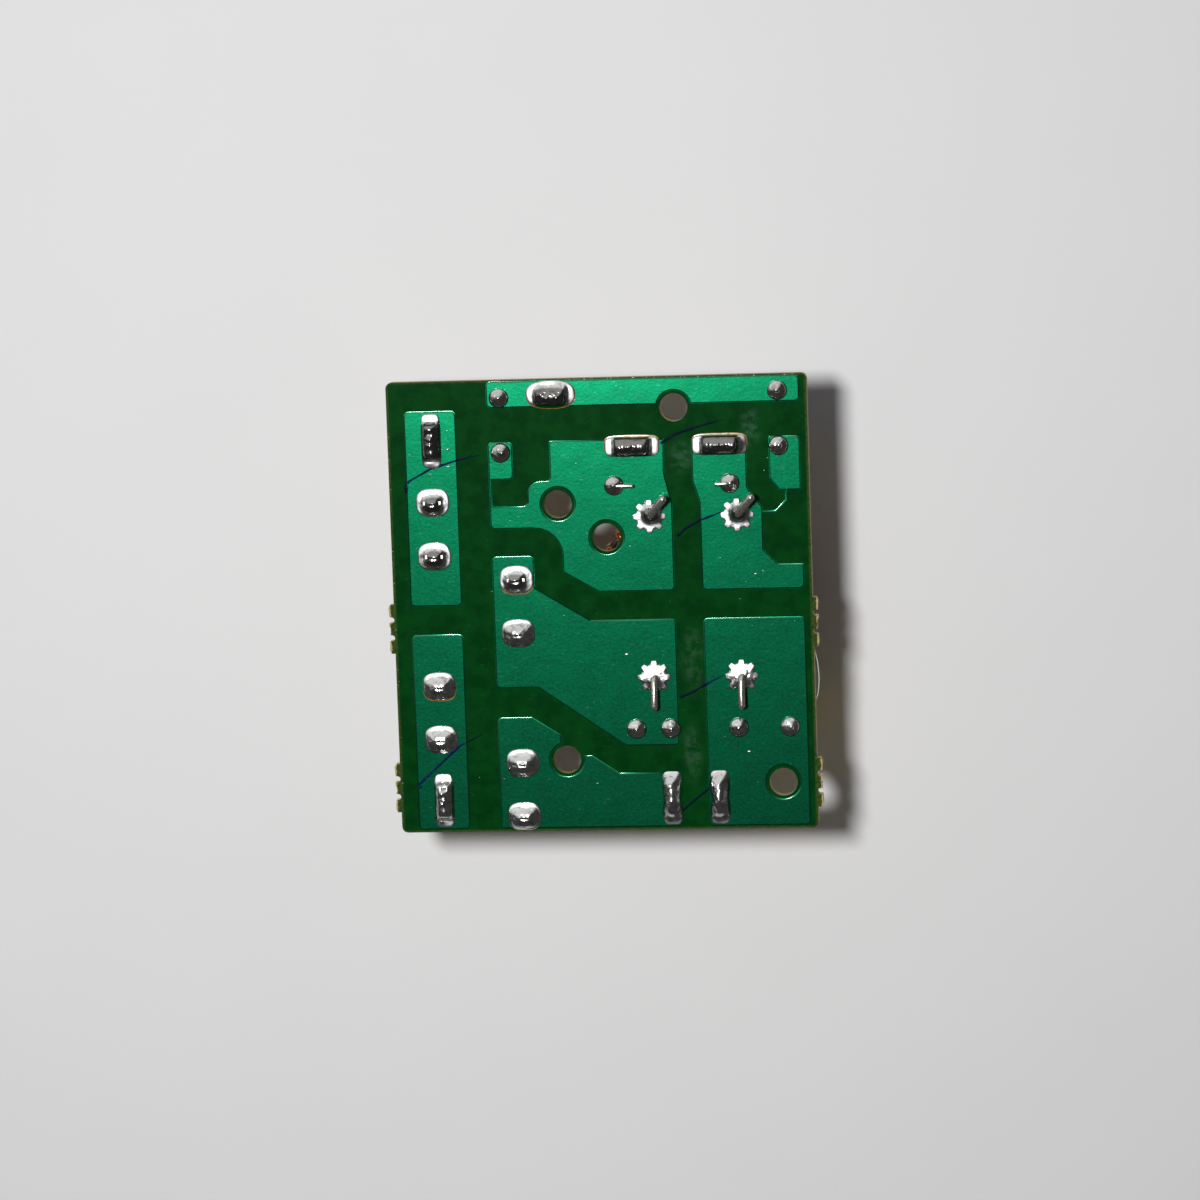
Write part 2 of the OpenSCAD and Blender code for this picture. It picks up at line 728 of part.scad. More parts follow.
// X capacitor: open case, resin and leads
module x_capacitor_case() {
    color([0.86, 0.78, 0.2])
        translate([x_at[0], x_at[1], 0])
            difference() {
                linear_extrude(x_case_h) slab(x_case_l, x_case_w, 0.6);
                translate([0, 0, x_case_t])
                    linear_extrude(x_case_h) slab(x_case_l - 2 * x_case_t, x_case_w - 2 * x_case_t, 0.4);
                // The rim stands on its corners, so that gas and flux get out under the board
                translate([0, 0, x_case_h])
                    cube([x_case_l - 5, 2 * x_case_w, 1], center = true);
            }
}

resin_z = x_case_h - 1;
module x_capacitor_resin() {
    color([0.8, 0.72, 0.3])
        translate([x_at[0], x_at[1], x_case_t])
            difference() {
                linear_extrude(resin_z - x_case_t)
                    slab(x_case_l - 2 * x_case_t, x_case_w - 2 * x_case_t, 0.4);
                for (s = [-1, 1])
                    translate([s * x_pitch / 2, 0, resin_z - x_case_t - 2])
                        cylinder(d = x_lead_d, h = 3, $fn = 24);
            }
}

module x_capacitor_leads() {
    color([0.8, 0.8, 0.8])
        for (at = [x_row[0], x_row[3]])
            translate([at[0], at[1], resin_z - 2])
                cylinder(d = x_lead_d, h = copper + 0.8 - resin_z + 2, $fn = 24);
}

// Y capacitors: dipped discs on straight leads
function disc_profile(n) =
    [[0, -y_disc_t / 2], for (i = [0:n]) let (a = -80 + 160 * i / n)
        [y_disc_d / 2 * pow(cos(a), 0.4), y_disc_t / 2 * sin(a)], [0, y_disc_t / 2]];

module y_leads() {
    for (s = [-1, 1])
        translate([0, s * y_pitch / 2, y_disc_z + 1])
            cylinder(d = thin_lead_d, h = copper + 0.8 - y_disc_z - 1, $fn = 24);
}

module y_disc(at) {
    color([0.16, 0.33, 0.62])
        translate([at[0], at[1], 0])
            difference() {
                union() {
                    translate([0, 0, y_disc_z])
                        rotate([0, 90, 0])
                            rotate_extrude($fn = 64)
                                polygon(disc_profile(12));
                    // The coating runs a little way up the leads
                    for (s = [-1, 1])
                        translate([0, s * y_pitch / 2, y_disc_z])
                            cylinder(d1 = 1.9, d2 = thin_lead_d + 0.3, h = y_disc_d / 2 + 0.6);
                }
                y_leads();
            }
}

module y_capacitor_left() { y_disc(y_left_at); }
module y_capacitor_right() { y_disc(y_right_at); }

module y_capacitor_left_leads() {
    color([0.8, 0.8, 0.8])
        translate([y_left_at[0], y_left_at[1], 0]) y_leads();
}

module y_capacitor_right_leads() {
    color([0.8, 0.8, 0.8])
        translate([y_right_at[0], y_right_at[1], 0]) y_leads();
}

// Resistor: dog-bone body on leads that are bent over on the solder side
module resistor_body() {
    waist = resistor_d / 2 - 0.25;
    full = resistor_d / 2;
    half = resistor_l / 2;
    color([0.72, 0.62, 0.45])
        translate([resistor_at[0], resistor_at[1], resistor_z])
            rotate([0, 90, 0])
                rotate_extrude($fn = 48)
                    polygon([
                        [0, -half], [full - 0.6, -half], [full - 0.15, -half + 0.35],
                        [full, -half + 1], [full - 0.05, -half + 1.6], [waist, -half + 2.4],
                        [waist, half - 2.4], [full - 0.05, half - 1.6], [full, half - 1],
                        [full - 0.15, half - 0.35], [full - 0.6, half], [0, half]
                    ]);
}

module resistor_leads() {
    reach = resistor_pitch / 2;
    clinch = [3, 2.2];
    clinch_z = copper + 0.65;
    color([0.8, 0.8, 0.8])
        translate([resistor_at[0], resistor_at[1], 0])
            for (s = [0, 1])
                mirror([s, 0, 0])
                    bar([
                        [-resistor_l / 2, 0, resistor_z],
                        [-reach, 0, resistor_z],
                        [-reach, 0, clinch_z],
                        [-reach + clinch[s], 0, clinch_z]
                    ], thin_lead_d);
}

// Solder: a joint is a cap of a ball, or a length of the same cap between two half caps
module cap_section(w, h) {
    r = (w * w / 4 + h * h) / (2 * h);
    intersection() {
        translate([0, h - r]) circle(r = r, $fn = 96);
        translate([0, 0]) square([w, 2 * h]);
    }
}

module mound(l, w, h) {
    run = l - w;
    if (run > 0) {
        for (s = [0, 1])
            mirror([s, 0, 0])
                translate([run / 2, 0, 0])
                    rotate(-90)
                        rotate_extrude(angle = 180, $fn = 96) cap_section(w, h);
        rotate([90, 0, 90])
            linear_extrude(run, center = true)
                union() {
                    cap_section(w, h);
                    mirror([1, 0]) cap_section(w, h);
                }
    } else {
        rotate_extrude($fn = 72) cap_section(w, h);
    }
}

module joint(at, along, l, w, h) {
    translate([at[0], at[1], copper])
        rotate(along ? 90 : 0)
            mound(l, w, h);
}

solder_tone = [0.78, 0.79, 0.8];

// A tab's joint is a low run of solder with a ridge over the foot
module tab_joint(at, along, l, w, foot) {
    ridge = foot + 1;
    difference() {
        union() {
            joint(at, along, l, w, 0.75);
            joint(at, along, ridge, w * 0.62, foot_out + 0.35);
        }
        translate([at[0], at[1], copper])
            rotate(along ? 90 : 0)
                cube([foot, blade_t, 2 * foot_out], center = true);
    }
}

module solder_fuse_tabs() {
    color(solder_tone)
        for (at = [tab_fuse_upper_at, tab_fuse_lower_at])
            tab_joint(at, true, tab_joint_l, tab_joint_w, foot_w);
}

module solder_output_tabs() {
    color(solder_tone)
        for (at = [tab_output_left_at, tab_output_right_at])
            tab_joint(at, false, tab_joint_l, tab_joint_w, foot_w);
}

module solder_input_tabs() {
    color(solder_tone)
        for (at = [tab_input_left_at, tab_input_right_at])
            tab_joint(at, true, tab_joint_l, tab_joint_w, foot_w);
}

module solder_earth_tab() {
    color(solder_tone)
        tab_joint(tab_earth_at, false, earth_joint_l, earth_joint_w, earth_foot_w);
}

module clip_joints(fuse) {
    color(solder_tone)
        for (y = [leg_y, leg_y - leg_pitch, leg_pitch - leg_y, -leg_y])
            difference() {
                joint(fuse + [0, y], false, clip_joint_l, clip_joint_w, leg_out + 0.45);
                translate([fuse[0], fuse[1] + y, copper])
                    cube([leg_w, clip_t, 2 * leg_out], center = true);
            }
}

module solder_clips_a() { clip_joints(fuse_a); }
module solder_clips_b() { clip_joints(fuse_b); }

// A choke joint flows out over eight teeth in the mask
function spin(p, a) = [p[0] * cos(a) - p[1] * sin(a), p[0] * sin(a) + p[1] * cos(a), p[2]];
module star_joint() {
    tip = star_d / 2;
    half = 0.36;
    valley = tip - 0.75;
    translate([0, 0, copper])
        linear_extrude(0.2)
            polygon(outline([
                for (a = [0:45:315])
                    each [
                        spin([valley, -half, 0], a), spin([tip, -half, 0.3], a),
                        spin([tip, half, 0.3], a), spin([valley, half, 0], a)
                    ]
            ]));
    translate([0, 0, copper])
        mound(2 * valley - 0.3, 2 * valley - 0.3, 1.1);
}

module solder_choke() {
    color(solder_tone)
        at_choke()
            for (s = [0, 1])
                mirror([s, 0, 0])
                    for (t = [low_tail, high_tail(s)])
                        difference() {
                            translate([t[1][0], t[1][1], 0]) star_joint();
                            bar(t, wire_d);
                        }
}

module solder_x_capacitor() {
    // The two middle holes suit a shorter capacitor and are only closed with solder
    color(solder_tone)
        difference() {
            for (at = x_row)
                joint(at, false, dot_d, dot_d, dot_h);
            x_capacitor_leads();
        }
}

module solder_y_capacitors() {
    color(solder_tone)
        for (at = [y_left_at, y_right_at])
            difference() {
                for (s = [-1, 1])
                    joint(at + [0, s * y_pitch / 2], false, dot_d, dot_d, dot_h);
                translate([at[0], at[1], 0]) y_leads();
            }
}

module solder_resistor() {
    color(solder_tone)
        difference() {
            for (s = [-1, 1])
                joint(resistor_at + [s * resistor_pitch / 2, 0], false, dot_d, dot_d, dot_h);
            resistor_leads();
        }
}

laminate();
land_fuse_upper();
land_fuse_lower();
land_earth();
land_output_left();
land_output_right();
land_choke_left();
land_input_left();
land_input_right();
tab_fuse_upper();
tab_fuse_lower();
tab_output_left();
tab_output_right();
tab_input_left();
tab_input_right();
tab_earth();
clip_a_upper();
clip_a_lower();
clip_b_upper();
clip_b_lower();
fuse_a_glass();
fuse_a_cap_upper();
fuse_a_cap_lower();
fuse_a_wire();
fuse_b_glass();
fuse_b_cap_upper();
fuse_b_cap_lower();
fuse_b_wire();
choke_core();
choke_divider();
choke_winding_left();
choke_winding_right();
x_capacitor_case();
x_capacitor_resin();
x_capacitor_leads();
y_capacitor_left();
y_capacitor_left_leads();
y_capacitor_right();
y_capacitor_right_leads();
resistor_body();
resistor_leads();
solder_fuse_tabs();
solder_output_tabs();
solder_input_tabs();
solder_earth_tab();
solder_clips_a();
solder_clips_b();
solder_choke();
solder_x_capacitor();
solder_y_capacitors();
solder_resistor();
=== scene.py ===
"""Looks of a mains noise filter board that lies solder side up on its parts.

Sizes are in millimetres in the board's own frame, and are turned into metres where a mesh is made.
"""

from __future__ import annotations

import logging
import math
import random
from dataclasses import dataclass, field
from enum import Enum
from typing import Callable, Iterable, Sequence, Union

import bmesh
import bpy
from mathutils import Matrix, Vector, noise
from mathutils.bvhtree import BVHTree


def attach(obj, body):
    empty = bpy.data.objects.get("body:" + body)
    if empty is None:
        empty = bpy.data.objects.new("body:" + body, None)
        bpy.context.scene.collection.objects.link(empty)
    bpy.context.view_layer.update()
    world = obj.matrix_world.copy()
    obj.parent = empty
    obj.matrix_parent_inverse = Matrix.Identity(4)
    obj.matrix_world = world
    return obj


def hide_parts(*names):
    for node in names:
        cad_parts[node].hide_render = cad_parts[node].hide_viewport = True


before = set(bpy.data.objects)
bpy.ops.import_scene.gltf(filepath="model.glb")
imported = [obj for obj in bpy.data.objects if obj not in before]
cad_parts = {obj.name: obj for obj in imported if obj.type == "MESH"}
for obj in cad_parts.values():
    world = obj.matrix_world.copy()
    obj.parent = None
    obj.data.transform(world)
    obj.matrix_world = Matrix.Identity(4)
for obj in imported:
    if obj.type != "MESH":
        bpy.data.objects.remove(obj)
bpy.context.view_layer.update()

LOG = logging.getLogger("noise_filter_board")
MM = 0.001

# Heights of the board's faces above the surface that its parts stand on
UNDER = 17.0
FACE = 18.6
COPPER = 18.7
HALF_W = 30.75
HALF_L = 33.25

# Places of the parts
FUSE_A = (-24.4, -1.95)
FUSE_B = (-12.45, -13.5)
CHOKE = (13.75, 1.05)
PIN_DX = 6.4
PIN_DY = 11.8
RESISTOR = (10.75, 17.5)
Y_LEFT = (-14.15, 26.65)
Y_RIGHT = (26.45, 26.85)
Y_PITCH = 8.0
EARTH_TAB = (-6.5, 31.0)
OUTPUT_TABS = ((5.1, 23.1), (17.9, 23.1))
STUBS_Y = (-3.0, -26.6)
CLIP_STAINS = ((FUSE_A[0], FUSE_A[1] - 9.7), (FUSE_B[0], FUSE_B[1] + 17.4))

# Angles of the rings that round the end of a wire
DOME = (0.0, 0.5, 0.95, 1.3, 1.5)

Socket = bpy.types.NodeSocket
Number = Union[float, Socket]
Colour = Union[tuple, Socket]
Point = tuple
Faces = list


class Direction(Enum):
    """Which way a long joint lies on the board."""

    ALONG_X = 0.0
    ALONG_Y = math.pi / 2


class Graph:
    """Adds nodes and links to one shader tree."""

    def __init__(self, tree: bpy.types.NodeTree) -> None:
        """Keeps the tree that nodes are added to."""
        self.tree = tree

    def add(self, kind: str, **settings: object) -> bpy.types.Node:
        """Adds one node.

        Args:
            kind: The node's type name.
            **settings: Attributes to set on the node.

        Returns:
            The new node.
        """
        node = self.tree.nodes.new(kind)
        for key, value in settings.items():
            setattr(node, key, value)
        return node

    def feed(self, socket: Socket, value: object) -> None:
        """Sets an input socket to a constant, or links an output to it.

        Args:
            socket: The input.
            value: A constant, or the output of another node.
        """
        if isinstance(value, bpy.types.NodeSocket):
            self.tree.links.new(value, socket)
        elif isinstance(value, tuple) and len(value) == 3 and socket.type == "RGBA":
            socket.default_value = (*value, 1.0)
        else:
            socket.default_value = value

    def math(self, operation: str, a: Number, b: Number = 0.0, clamp: bool = False) -> Socket:
        """Adds a math node.

        Args:
            operation: Blender's name of the operation.
            a: First value.
            b: Second value.
            clamp: Whether the result stays between 0 and 1.

        Returns:
            The result.
        """
        node = self.add("ShaderNodeMath", operation=operation, use_clamp=clamp)
        self.feed(node.inputs[0], a)
        self.feed(node.inputs[1], b)
        return node.outputs[0]

    def times(self, a: Number, b: Number) -> Socket:
        """Multiplies two values."""
        return self.math("MULTIPLY", a, b)

    def span(
        self, value: Number, low: float, high: float, to_low: float = 0.0, to_high: float = 1.0
    ) -> Socket:
        """Maps a value smoothly from one range to another and clamps it.

        Args:
            value: The value to map.
            low: Value that gives to_low.
            high: Value that gives to_high.
            to_low: Result at low.
            to_high: Result at high.

        Returns:
            The mapped value.
        """
        node = self.add("ShaderNodeMapRange", interpolation_type="SMOOTHSTEP")
        for socket, item in zip(node.inputs, (value, low, high, to_low, to_high)):
            self.feed(socket, item)
        return node.outputs[0]

    def mix(self, factor: Number, a: Colour, b: Colour, blend: str = "MIX") -> Socket:
        """Mixes two colours.

        Args:
            factor: Share of b.
            a: Colour at factor 0.
            b: Colour at factor 1.
            blend: Blender's name of the blend.

        Returns:
            The mixed colour.
        """
        node = self.add("ShaderNodeMix", data_type="RGBA", blend_type=blend)
        self.feed(node.inputs[0], factor)
        self.feed(node.inputs[6], a)
        self.feed(node.inputs[7], b)
        return node.outputs[2]

    def noise(self, vector: Socket, scale: float, detail: float = 2.0, roughness: float = 0.5) -> Socket:
        """Adds a noise texture and returns its value.

        Args:
            vector: Position.
            scale: Frequency.
            detail: Number of octaves.
            roughness: Weight of the finer octaves.

        Returns:
            A value from 0 to 1.
        """
        node = self.add("ShaderNodeTexNoise")
        self.feed(node.inputs["Vector"], vector)
        node.inputs["Scale"].default_value = scale
        node.inputs["Detail"].default_value = detail
        node.inputs["Roughness"].default_value = roughness
        return node.outputs["Fac"]

    def stretched(self, vector: Socket, turn: float, scale: tuple) -> Socket:
        """Turns a position about Z and scales it by axis.

        Args:
            vector: Position.
            turn: Angle in degrees.
            scale: Scale on each axis.

        Returns:
            The changed position.
        """
        node = self.add("ShaderNodeMapping")
        self.feed(node.inputs["Vector"], vector)
        node.inputs["Rotation"].default_value = (0.0, 0.0, math.radians(turn))
        node.inputs["Scale"].default_value = scale
        return node.outputs[0]

    def place(self) -> Socket:
        """Gives the position on the object in millimetres."""
        return self.scaled(self.add("ShaderNodeTexCoord").outputs["Object"], 1 / MM)

    def scaled(self, vector: Socket, scale: Number) -> Socket:
        """Scales a vector by one number.

        Args:
            vector: Position.
            scale: The number.

        Returns:
            The scaled position.
        """
        node = self.add("ShaderNodeVectorMath", operation="SCALE")
        self.feed(node.inputs[0], vector)
        self.feed(node.inputs["Scale"], scale)
        return node.outputs[0]

    def axes(self, vector: Socket) -> tuple[Socket, Socket, Socket]:
        """Splits a vector into X, Y and Z.

        Args:
            vector: The vector.

        Returns:
            Its three parts.
        """
        node = self.add("ShaderNodeSeparateXYZ")
        self.feed(node.inputs[0], vector)
        return node.outputs[0], node.outputs[1], node.outputs[2]


class EffectGroups:
    """Shader node groups that several finishes use, each built once."""

    def __init__(self) -> None:
        """Builds every group."""
        self.scratches = self._scratches()
        self.specks = self._specks()
        self.grain = self._grain()

    @staticmethod
    def _shell(name: str, outputs: Sequence[str]) -> tuple[Graph, bpy.types.Node, bpy.types.Node]:
        """Makes an empty group with a position, a scale and an amount as its inputs.

        Args:
            name: Name of the group.
            outputs: Names of its output values.

        Returns:
            The group's graph, and its input and output nodes.
        """
        tree = bpy.data.node_groups.new(name, "ShaderNodeTree")
        tree.interface.new_socket(name="Position", in_out="INPUT", socket_type="NodeSocketVector")
        for label, value in (("Scale", 1.0), ("Amount", 0.5)):
            socket = tree.interface.new_socket(name=label, in_out="INPUT", socket_type="NodeSocketFloat")
            socket.default_value = value
        for label in outputs:
            tree.interface.new_socket(name=label, in_out="OUTPUT", socket_type="NodeSocketFloat")
        graph = Graph(tree)
        return graph, graph.add("NodeGroupInput"), graph.add("NodeGroupOutput")

    def _scratches(self) -> bpy.types.NodeTree:
        """Builds short fine scratches in three directions.

        Returns:
            The node group.
        """
        graph, given, out = self._shell("Fine scratches", ["Mask"])
        scaled = graph.scaled(given.outputs["Position"], given.outputs["Scale"])
        total: Number = 0.0
        for turn, offset in ((24.0, 0.0), (-38.0, 7.0), (81.0, 13.0)):
            streak = graph.stretched(scaled, turn, (0.22, 3.4, 1.0))
            value = graph.noise(streak, 1.0, 0.0)
            off = graph.math("ABSOLUTE", graph.math("SUBTRACT", value, 0.5))
            line = graph.span(off, 0.0, 0.012, 1.0, 0.0)
            spread = graph.stretched(scaled, turn + offset, (0.5, 0.5, 0.5))
            patch = graph.span(graph.noise(spread, 1.3, 1.0), 0.6, 0.68)
            total = graph.math("MAXIMUM", total, graph.times(line, patch))
        graph.feed(out.inputs["Mask"], graph.math("MULTIPLY", total, given.outputs["Amount"], clamp=True))
        return graph.tree

    def _specks(self) -> bpy.types.NodeTree:
        """Builds scattered small specks.

        Returns:
            The node group.
        """
        graph, given, out = self._shell("Specks", ["Mask"])
        cells = graph.add("ShaderNodeTexVoronoi")
        graph.feed(cells.inputs["Vector"], given.outputs["Position"])
        graph.feed(cells.inputs["Scale"], given.outputs["Scale"])
        dot = graph.span(cells.outputs["Distance"], 0.05, 0.11, 1.0, 0.0)
        pick = graph.add("ShaderNodeSeparateColor")
        graph.feed(pick.inputs[0], cells.outputs["Color"])
        chosen = graph.math("LESS_THAN", pick.outputs[0], given.outputs["Amount"])
        graph.feed(out.inputs["Mask"], graph.times(dot, chosen))
        return graph.tree

    def _grain(self) -> bpy.types.NodeTree:
        """Builds a soft uneven surface from a fine and a broad noise.

        Returns:
            The node group.
        """
        graph, given, out = self._shell("Uneven surface", ["Fine", "Broad", "Height"])
        scaled = graph.scaled(given.outputs["Position"], given.outputs["Scale"])
        fine = graph.noise(scaled, 3.0, 2.0, 0.6)
        broad = graph.noise(scaled, 0.45, 2.0, 0.5)
        graph.feed(out.inputs["Fine"], fine)
        graph.feed(out.inputs["Broad"], broad)
        height = graph.math("ADD", graph.times(fine, given.outputs["Amount"]), broad)
        graph.feed(out.inputs["Height"], height)
        return graph.tree


@dataclass(frozen=True)
class Finish:
    """A material: its name, colours, gloss and surface relief."""

    name: str
    colour: tuple
    second: tuple
    metallic: float = 0.0
    roughness: float = 0.4
    uneven: float = 0.08
    coat: float = 0.0
    specular: float = 0.5
    scale: float = 1.0
    relief: float = 0.05
    scratches: float = 0.2
    scratch_colour: tuple = (0.6, 0.6, 0.6)

    def start(self) -> tuple[bpy.types.Material, Graph, bpy.types.Node]:
        """Makes the material with its Principled shader.

        Returns:
            The material, its graph and the shader node.
        """
        material = bpy.data.materials.new(self.name)
        material.use_nodes = True
        graph = Graph(material.node_tree)
        shader = material.node_tree.nodes["Principled BSDF"]
        shader.inputs["Metallic"].default_value = self.metallic
        shader.inputs["Coat Weight"].default_value = self.coat
        shader.inputs["Specular IOR Level"].default_value = self.specular
        shader.inputs["Coat Roughness"].default_value = 0.1
        return material, graph, shader

    @staticmethod
    def effect(
        graph: Graph, tree: bpy.types.NodeTree, place: Socket, scale: float, amount: float
    ) -> bpy.types.Node:
        """Places a shared effect in the material.

        Args:
            graph: The material's graph.
            tree: The shared group.
            place: Position on the object.
            scale: Scale of the effect.
            amount: Strength or share of the effect.

        Returns:
            The group's node.
        """
        node = graph.add("ShaderNodeGroup", node_tree=tree)
        graph.feed(node.inputs["Position"], place)
        node.inputs["Scale"].default_value = scale
        node.inputs["Amount"].default_value = amount
        return node

    def gloss(self, graph: Graph, grain: bpy.types.Node) -> Socket:
        """Gives the roughness, which wanders a little with the grain."""
        low, high = self.roughness - self.uneven, self.roughness + self.uneven
        return graph.span(grain.outputs["Fine"], 0.3, 0.7, low, high)

    def bump(self, graph: Graph, shader: bpy.types.Node, height: Socket) -> None:
        """Raises the surface by a height, times the finish's relief.

        Args:
            graph: The material's graph.
            shader: The shader to raise.
            height: The height.
        """
        node = graph.add("ShaderNodeBump")
        node.inputs["Strength"].default_value = 1.0
        node.inputs["Distance"].default_value = self.relief * MM
        graph.feed(node.inputs["Height"], height)
        graph.feed(shader.inputs["Normal"], node.outputs[0])

    def paint(self, graph: Graph, grain: bpy.types.Node, place: Socket) -> Socket:
        """Gives the colour over the surface before scratches."""
        return graph.mix(graph.span(grain.outputs["Broad"], 0.35, 0.65), self.colour, self.second)

    def build(self, groups: EffectGroups) -> bpy.types.Material:
        """Makes the whole material.

        Args:
            groups: The shared effects.

        Returns:
            The material.
        """
        material, graph, shader = self.start()
        place = graph.place()
        grain = self.effect(graph, groups.grain, place, self.scale, 0.6)
        worn = self.effect(graph, groups.scratches, place, 1.0, self.scratches)
        base = self.paint(graph, grain, place)
        graph.feed(shader.inputs["Base Color"], graph.mix(worn.outputs[0], base, self.scratch_colour))
        rough = graph.math("ADD", self.gloss(graph, grain), graph.times(worn.outputs[0], 0.1))
        graph.feed(shader.inputs["Roughness"], rough)
        self.bump(graph, shader, grain.outputs["Height"])
        return material


@dataclass(frozen=True)
class MaskedCopper(Finish):
    """Green solder mask over bright copper: a tinted metal under a clear gloss."""

    def build(self, groups: EffectGroups) -> bpy.types.Material:
        """Makes the material with hammered relief, specks and pale scratches.

        Args:
            groups: The shared effects.

        Returns:
            The material.
        """
        material, graph, shader = self.start()
        place = graph.place()
        grain = self.effect(graph, groups.grain, place, 0.75, 0.6)
        worn = self.effect(graph, groups.scratches, place, 1.4, self.scratches)
        dust = self.effect(graph, groups.specks, place, 1.6, 0.015)
        fine = graph.span(grain.outputs["Fine"], 0.36, 0.64)
        base = graph.mix(graph.times(fine, 0.5), self.colour, self.second)
        base = graph.mix(graph.span(grain.outputs["Broad"], 0.3, 0.7, 0.0, 0.35), base, self.second)
        marks = graph.math("MAXIMUM", worn.outputs[0], graph.times(dust.outputs[0], 0.8))
        graph.feed(shader.inputs["Base Color"], graph.mix(marks, base, self.scratch_colour))
        graph.feed(shader.inputs["Roughness"], self.gloss(graph, grain))
        height = graph.math("ADD", grain.outputs["Height"], graph.times(marks, 0.4))
        self.bump(graph, shader, height)
        return material


@dataclass(frozen=True)
class Laminate(Finish):
    """Bare board: green mask on the solder side, tan laminate on the edges and underneath."""

    edge: tuple = (0.44, 0.35, 0.19)
    underside: tuple = (0.50, 0.40, 0.22)
    haze: tuple = (0.06, 0.16, 0.09)
    worn_rim: tuple = (0.05, 0.075, 0.018)
    pale_layer: tuple = (0.62, 0.54, 0.37)
    pale_weave: tuple = (0.60, 0.50, 0.30)
    bare: tuple = (0.46, 0.36, 0.17)
    weave_turn: float = 7.4
    # Each patch of dried flux: middle, reach in x and y, strength
    patches: tuple = (
        (12.2, 21.5, 2.6, 3.4, 0.35),
        (22.4, 25.5, 2.2, 4.2, 0.4),
        (13.0, -8.0, 2.4, 7.0, 0.3),
        (12.6, -22.0, 2.0, 6.0, 0.35),
    )

    def build(self, groups: EffectGroups) -> bpy.types.Material:
        """Makes the material by the place on the board and the way each face looks.

        Args:
            groups: The shared effects.

        Returns:
            The material.
        """
        material, graph, shader = self.start()
        place = graph.place()
        x, y, _ = graph.axes(place)
        grain = self.effect(graph, groups.grain, place, 1.0, 0.7)
        mask = self._mask(graph, groups, place, grain)
        layers = graph.noise(graph.stretched(place, 0.0, (0.6, 0.6, 7.0)), 1.2, 4.0, 0.7)
        side = graph.mix(graph.span(layers, 0.3, 0.7), self.edge, self.pale_layer)
        warp = graph.math("SINE", graph.times(x, self.weave_turn))
        weft = graph.math("SINE", graph.times(y, self.weave_turn))
        weave = graph.span(graph.times(warp, weft), -0.6, 0.6, 0.0, 0.5)
        below = graph.mix(weave, self.underside, self.pale_weave)
        below = graph.mix(graph.span(layers, 0.35, 0.75, 0.0, 0.4), below, self.edge)
        facing = graph.axes(graph.add("ShaderNodeNewGeometry").outputs["True Normal"])[2]
        top = graph.span(facing, 0.4, 0.6)
        bottom = graph.span(facing, -0.4, -0.6)
        graph.feed(shader.inputs["Base Color"], graph.mix(bottom, graph.mix(top, side, mask), below))
        dry = graph.math("SUBTRACT", 0.75, graph.times(top, 0.75))
        graph.feed(shader.inputs["Roughness"], graph.math("MAXIMUM", self.gloss(graph, grain), dry))
        self.bump(graph, shader, graph.mix(top, layers, grain.outputs["Height"]))
        return material

    def _mask(self, graph: Graph, groups: EffectGroups, place: Socket, grain: bpy.types.Node) -> Socket:
        """Gives the colour of the solder side.

        Args:
            graph: The material's graph.
            groups: The shared effects.
            place: Position on the object.
            grain: The uneven surface.

        Returns:
            Green with scratches, dust, dried flux, a worn rim and bare stub ends.
        """
        x, y, _ = graph.axes(place)
        across = graph.math("ABSOLUTE", x)
        worn = self.effect(graph, groups.scratches, place, 1.2, self.scratches)
        dust = self.effect(graph, groups.specks, place, 1.2, 0.03)
        mask = graph.mix(graph.span(grain.outputs["Broad"], 0.3, 0.7), self.colour, self.second)
        marks = graph.math("MAXIMUM", worn.outputs[0], graph.times(dust.outputs[0], 0.5))
        mask = graph.mix(marks, mask, self.scratch_colour)
        mask = graph.mix(self._haze(graph, place), mask, self.haze)
        rim_x = graph.span(across, HALF_W - 0.5, HALF_W - 0.15)
        rim_y = graph.span(graph.math("ABSOLUTE", y), HALF_L - 0.4, HALF_L - 0.12)
        ragged = graph.span(graph.noise(place, 2.2, 3.0), 0.35, 0.6, 0.35, 1.0)
        rim = graph.times(graph.math("MAXIMUM", rim_x, rim_y), ragged)
        mask = graph.mix(rim, mask, self.worn_rim)
        frayed = graph.math("ADD", across, graph.times(graph.noise(place, 1.7, 3.0), 0.5))
        return graph.mix(graph.span(frayed, HALF_W + 0.72, HALF_W + 0.84), mask, self.bare)

    def _haze(self, graph: Graph, place: Socket) -> Socket:
        """Gives dried flux, which lies in a few gaps between the lands.

        Args:
            graph: The material's graph.
            place: Position on the object.

        Returns:
            How much flux there is, from 0 to 1.
        """
        total: Number = 0.0
        for cx, cy, rx, ry, amount in self.patches:
            centred = graph.add("ShaderNodeMapping", vector_type="TEXTURE")
            graph.feed(centred.inputs["Vector"], place)
            centred.inputs["Location"].default_value = (cx, cy, FACE)
            centred.inputs["Scale"].default_value = (rx, ry, 1.0)
            length = graph.add("ShaderNodeVectorMath", operation="LENGTH")
            graph.feed(length.inputs[0], centred.outputs[0])
            total = graph.math("MAXIMUM", total, graph.span(length.outputs["Value"], 0.2, 1.0, amount, 0.0))
        cloud = graph.span(graph.noise(place, 0.9, 3.0, 0.6), 0.35, 0.65)
        return graph.times(total, cloud)


